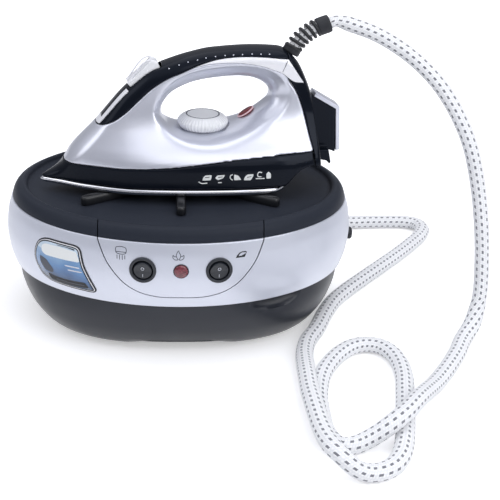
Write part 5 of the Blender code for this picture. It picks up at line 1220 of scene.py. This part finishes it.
def makeDial(finish):
    rings = [flutedRing(dial["x"], 0, dial["floor"] + up * dial["height"], dial["radius"] * share, dial["grips"],
                        fluted * dial["depth"], 360) for share, up, fluted in dialProfile]
    setDown(skin("clearHeatDial", rings), finish["clear"], "heat_dial", 50, "dial")
    near, far = dial["ring"], dial["ring"] + dial["line"]
    profile = ((near, -0.2 * mm), (far, -0.2 * mm), (far, dial["print"]), (near, dial["print"]))
    top = (dial["x"], 0, dial["floor"] + dial["height"])
    ring = turned("dialPrintedRing", profile, top, (0, 0, 1), 128, wrap=True)
    setDown(ring, finish["inkDarkAndHighlight"], (), 50, "dial")
    settleCopies(finish, "dial", (("dial_shaft", "dialShaftRod", "steel", 0.25),), angle=45)
    settleCopies(finish, "iron", (("thermostat", "thermostatCan", "casting", 0.25),
                                  ("steam_chamber", "steamChamberCasting", "casting", 0.25),
                                  ("steam_switch", "steamSwitchCase", "switch", 0.25)), angle=45)
    settleCopies(finish, "tappet", (("switch_tappet", "switchTappetPin", "switch", 0.25),), angle=45)


lens = {"at": (0.6968, 0.4992), "turn": -34 * degree, "long": 7.6 * mm, "wide": 5.2 * mm, "shrink": 4.7 * mm,
        "rise": 1.8 * mm, "rim": ((1.3, -0.5), (1.3, 0.25), (0.9, 0.5), (0.15, 0.5), (0.1, -0.5))}


def lensSolid(name, levels):
    turn = Matrix.Rotation(lens["turn"], 3, "Y")
    spot = ironSpots([lens["at"]])[0]
    return skin(name, [[spot + turn @ Vector(((lens["long"] + grow) * c, (lens["wide"] + grow) * s, up))
                        for c, s in circle(64)] for grow, up in levels])


def makeLens(finish):
    levels = [(0, -4 * mm), (0, 0)] + [(-lens["shrink"] * (1 - math.cos(a)), lens["rise"] * math.sin(a))
                                       for a in sweep(0, math.pi / 2, 9)[1:-1]]
    setDown(lensSolid("heatingLampLens", levels), finish["lens"], "heating_lamp", 50)
    rim = lensSolid("lensRim", [(grow * mm, up * mm) for grow, up in lens["rim"]])
    setDown(rim, finish["rim"], (), 50)


button = {"half": 8.5 * mm, "glint": 6.9 * mm, "bead": 0.8 * mm}


def makeButton(finish):
    # a hollowed translucent plate, with a painted highlight along each side
    line = ironLine("button", None)
    piece = wideTool(line, -button["half"], button["half"])
    piece.name = piece.data.name = "clearSteamButton"
    soften(piece, 0.9 * mm, 4, 25)
    setDown(piece, finish["clear"], "steam_button", 50, "trigger")
    edge = smoothLine([line[0], line[4], line[3]], 1.5 * mm)
    # a pale tube along each side is a painted highlight, where the button's rounded edge catches the light
    for side, name in ((-1, "near"), (1, "far")):
        glint = [Vector((p.x, side * button["glint"], p.z - 0.15 * mm)) for p in edge]
        tube = tubeAlong(name + "ButtonPaintedGlint", glint, button["bead"], 12)
        setDown(tube, finish["pearl"], (), 60, "trigger")


# strain relief: one open rubber coil between a foot in the grip and an end collar
relief = {"coil": 7.2 * mm, "wire": 1.6 * mm, "turns": 6, "bore": 5.9 * mm, "outer": 8.4 * mm, "foot": 0.14,
          "collar": 0.74}


def alongLine(points, share):
    run = [0.0]
    for here, after in zip(points, points[1:]):
        run.append(run[-1] + (after - here).length)
    at = min(max(share, 0), 1) * run[-1]
    for index in range(len(points) - 1):
        if at <= run[index + 1] or index == len(points) - 2:
            t = (at - run[index]) / (run[index + 1] - run[index])
            return points[index].lerp(points[index + 1], t), (points[index + 1] - points[index]).normalized()


def reliefSpace():
    line = ironLine("relief", 1.5 * mm)
    start = line[0] - (line[1] - line[0]).normalized() * 6 * mm
    points = evenly([start, *line[:18]], 2 * mm)[0]
    return tubeAlong("reliefSpace", points, 9.3 * mm, 40)


def makeRelief(finish):
    line = ironLine("relief", 0.8 * mm)
    level = Vector((0, 1, 0))
    for name, first, last in (("reliefFoot", 0.0, relief["foot"]), ("reliefCollar", relief["collar"], 1.0)):
        outer, inner = [], []
        for step, share in enumerate(sweep(first, last, 12)):
            point, run = alongLine(line, share)
            lip = 0.6 * mm if step in (0, 12) else 0.15 * mm if step in (1, 11) else 0
            outer.append(hoop(point, level, run.cross(level), relief["outer"] - lip, 48))
            inner.append(hoop(point, level, run.cross(level), relief["bore"] + lip / 2, 48))
        piece = skin(name, outer + inner[::-1], wrap=True)
        node = "strain_relief" if name == "reliefCollar" else ()
        setDown(piece, finish["rubber"], node, 45)
    count = relief["turns"] * 32
    points = []
    for index, share in enumerate(sweep(relief["foot"] * 0.6, relief["collar"] * 1.04, count)):
        point, run = alongLine(line, share)
        angle = 2 * math.pi * relief["turns"] * index / count
        points.append(point + (level * math.cos(angle) + run.cross(level) * math.sin(angle)) * relief["coil"])
    coil = tubeAlong("reliefCoil", points, relief["wire"], 12)
    setDown(coil, finish["rib"], (), 60)


gripDots = ((0.4295, 0.8631), (0.4622, 0.8881), (0.4918, 0.9087), (0.5227, 0.9234), (0.5506, 0.9374),
            (0.5819, 0.9474), (0.6134, 0.9536), (0.6415, 0.9569), (0.6714, 0.9598), (0.7032, 0.9623),
            (0.7331, 0.9607), (0.7619, 0.9593))


def makeDots(finish):
    made = []
    stud = 0.65 * mm
    bead = [(stud * math.cos(a), stud / 2 * math.sin(a)) for a in sweep(0, math.pi / 2, 5)[:-1]]
    for mirror in (1, -1):
        for share, z in gripDots:
            at, out = (Vector((way.x, way.y * mirror, way.z)) for way in onHull(share, z))
            made.append(turned("stud", [(stud, -0.6 * mm), *bead], at, out, 20))
    setDown(joinPieces(made, "gripStuds"), finish["shell"], (), 60)


# printed hints along the skirt, as shares of the iron's length and height: filled shapes, then strokes
skirtPatches = (
    ((0.527, 0.112), (0.531, 0.136), (0.5373, 0.1476), (0.5578, 0.1503), (0.5546, 0.1143)),
    ((0.5698, 0.128), (0.5767, 0.1475), (0.6013, 0.1495), (0.5957, 0.1284), (0.579, 0.114)),
    ((0.6327, 0.1521), (0.6329, 0.1117), (0.6561, 0.1131), (0.6468, 0.1424)),
    ((0.6657, 0.1091), (0.6687, 0.132), (0.6775, 0.149), (0.6978, 0.1503), (0.6951, 0.1315), (0.6886, 0.1078)),
    ((0.7421, 0.1506), (0.7491, 0.1646), (0.7564, 0.1494), (0.7569, 0.1151), (0.7424, 0.1137)),
)
skirtSigns = (
    ((0.5142, 0.1022), (0.5226, 0.091), (0.5434, 0.0911)), ((0.579, 0.0942), (0.591, 0.0942)),
    ((0.6277, 0.1533), (0.6201, 0.1429), (0.6205, 0.1228), (0.6275, 0.111)),
    ((0.7265, 0.1594), (0.717, 0.1635), (0.7117, 0.1506), (0.7132, 0.1327), (0.7246, 0.1288)),
    ((0.7056, 0.1163), (0.7356, 0.1154)),
)
skirtSlots = (((0.5355, 0.1335), (0.5505, 0.1365)), ((0.579, 0.133), (0.594, 0.137)),
              ((0.676, 0.129), (0.6905, 0.134)))


def onFlank(points, out):  # points in X and Z, moved onto the iron's near side
    return [onHull(ironShare(p.x), p.z / iron["height"], out)[0] for p in points]


def makeSkirtSigns(finish):
    made = []
    for index, slot in enumerate(skirtSlots):
        line = smoothLine([onHull(x, z, 0.1 * mm)[0] for x, z in slot], 1 * mm)
        tube = tubeAlong(f"skirtSlot{index}", line, 0.32 * mm, 8)
        setDown(tube, finish["inkBlack"], (), 60)
    for patch in skirtPatches:
        line = grown(roundedLine(ironSpots(patch), 0.5 * mm, 2), 0.15 * mm)
        middle = sum(line, Vector()) / len(line)
        made.append(skin("patch", [onFlank([point.lerp(middle, inward) for point in line], out) for inward, out in
                                   ((0, -0.4 * mm), (0, 0.14 * mm), (0.5, 0.14 * mm), (0.95, 0.14 * mm))]))
    for sign in skirtSigns:
        line = onFlank(smoothLine(ironSpots(sign), 0.7 * mm), -0.02 * mm)
        made.append(tubeAlong("sign", line, 0.5 * mm, 8))
    setDown(joinPieces(made, "skirtSigns"), finish["inkWhite"], (), 60)


def makeIron(finish):
    for make in (makeSole, makeSkirt, makeShell, makeInserts, makeGrip, makeRear, makeDial, makeLens, makeButton,
                 makeRelief, makeDots, makeSkirtSigns):
        make(finish)
    print("iron made")


# studio: a white paper sweep under soft light from above and both sides
studio = {
    "floor": 12.0, "paper": "#F2F2F3", "near": 0.42, "far": 0.95, "mirrorNear": 0.68, "mirrorFar": 0.16,
    "horizon": 0.38, "zenith": 1.0, "mirrorZenith": 1.15, "air": "#F4F6FF", "aim": (0, 0, 0.12),
    "lamps": (("frontSoftbox", (0.42, -1.6, 1.4), 1.3, 0.9, 4.8), ("leftSoftbox", (-1.2, -0.5, 1.0), 0.8, 0.9, 2.8),
              ("topSoftbox", (0.1, 0.2, 1.7), 1.6, 1.1, 5.5), ("rightSoftbox", (1.2, -1.0, 1.0), 0.9, 1, 7.5))}


def rayKinds(tree):  # whether the camera sees a thing itself, and whether it shows in something shiny or clear
    rays = addNode(tree, "ShaderNodeLightPath").outputs
    shown = mathNode(tree, "ADD", rays["Is Glossy Ray"], rays["Is Transmission Ray"], use_clamp=True)
    return rays["Is Camera Ray"], shown


def makeFloor():
    bpy.ops.mesh.primitive_plane_add(size=studio["floor"])
    floor = bpy.context.object
    floor.name = "studioFloor"
    material, tree, shader = newMaterial("whitePaperSweep", studio["paper"], 0.9, 0.0, Specular_IOR_Level=0.1,
                                         Emission_Color=(1, 1, 1, 1))
    # the paper looks white to the camera and in reflections, and still takes the shadow near the base
    seen, shown = rayKinds(tree)
    away = addNode(tree, "ShaderNodeVectorMath", {"operation": "LENGTH"}, _0=objectPlace(tree)).outputs["Value"]
    direct = rangeNode(tree, away, 0.3, 1.0, studio["near"], studio["far"])
    mirrored = rangeNode(tree, away, 0.2, 0.42, studio["mirrorNear"], studio["mirrorFar"])
    lift = mathNode(tree, "MULTIPLY_ADD", seen, direct, mathNode(tree, "MULTIPLY", shown, mirrored))
    tree.links.new(lift, shader.inputs["Emission Strength"])
    floor.data.materials.append(material)


def makeLamps():
    for name, at, width, height, power in studio["lamps"]:
        data = bpy.data.lights.new(name, "AREA")
        data.shape, data.size, data.size_y, data.energy = "RECTANGLE", width, height, power
        lamp = addItem(name, data)
        lamp.location = at
        lamp.rotation_euler = (Vector(studio["aim"]) - Vector(at)).to_track_quat("-Z", "Y").to_euler()


def makeRoom():  # pale overhead and dimmer towards its walls, which gives the silver its shades
    world = bpy.data.worlds.new("studioWorld")
    bpy.context.scene.world = world
    world.use_nodes = True
    tree = world.node_tree
    tree.nodes.clear()
    where = addNode(tree, "ShaderNodeTexCoord").outputs["Generated"]
    up = addNode(tree, "ShaderNodeSeparateXYZ", Vector=where).outputs[2]
    glow, mirrored = (rangeNode(tree, up, low, high, studio["horizon"], studio[key], interpolation_type="SMOOTHSTEP")
                      for key, low, high in (("zenith", 0.4, 1.0), ("mirrorZenith", 0.35, 0.85)))
    # pieces that shine see the pale ceiling, and the camera sees plain white
    seen, shown = rayKinds(tree)
    level = addNode(tree, "ShaderNodeMix", _0=shown, _2=glow, _3=mirrored).outputs[0]
    level = addNode(tree, "ShaderNodeMix", _0=seen, _2=level, _3=1.0).outputs[0]
    sky = addNode(tree, "ShaderNodeBackground", Color=mixNode(tree, seen, studio["air"], (1, 1, 1, 1)), Strength=level)
    addNode(tree, "ShaderNodeOutputWorld", Surface=sky.outputs[0])


def makeStudio():
    makeFloor()
    makeLamps()
    makeRoom()
    bpy.context.scene.view_settings.view_transform = "Standard"
    print("studio lit")


finish = makeFinishes()
addCamera()
makeHose(finish["braid"])
makeBand(finish)
makeBowl(finish)
makeLid(finish)
makeSwitches(finish)
makeSigns(finish)
makeBadge(finish)
makeBoiler(finish)
makeIron(finish)
makeStudio()
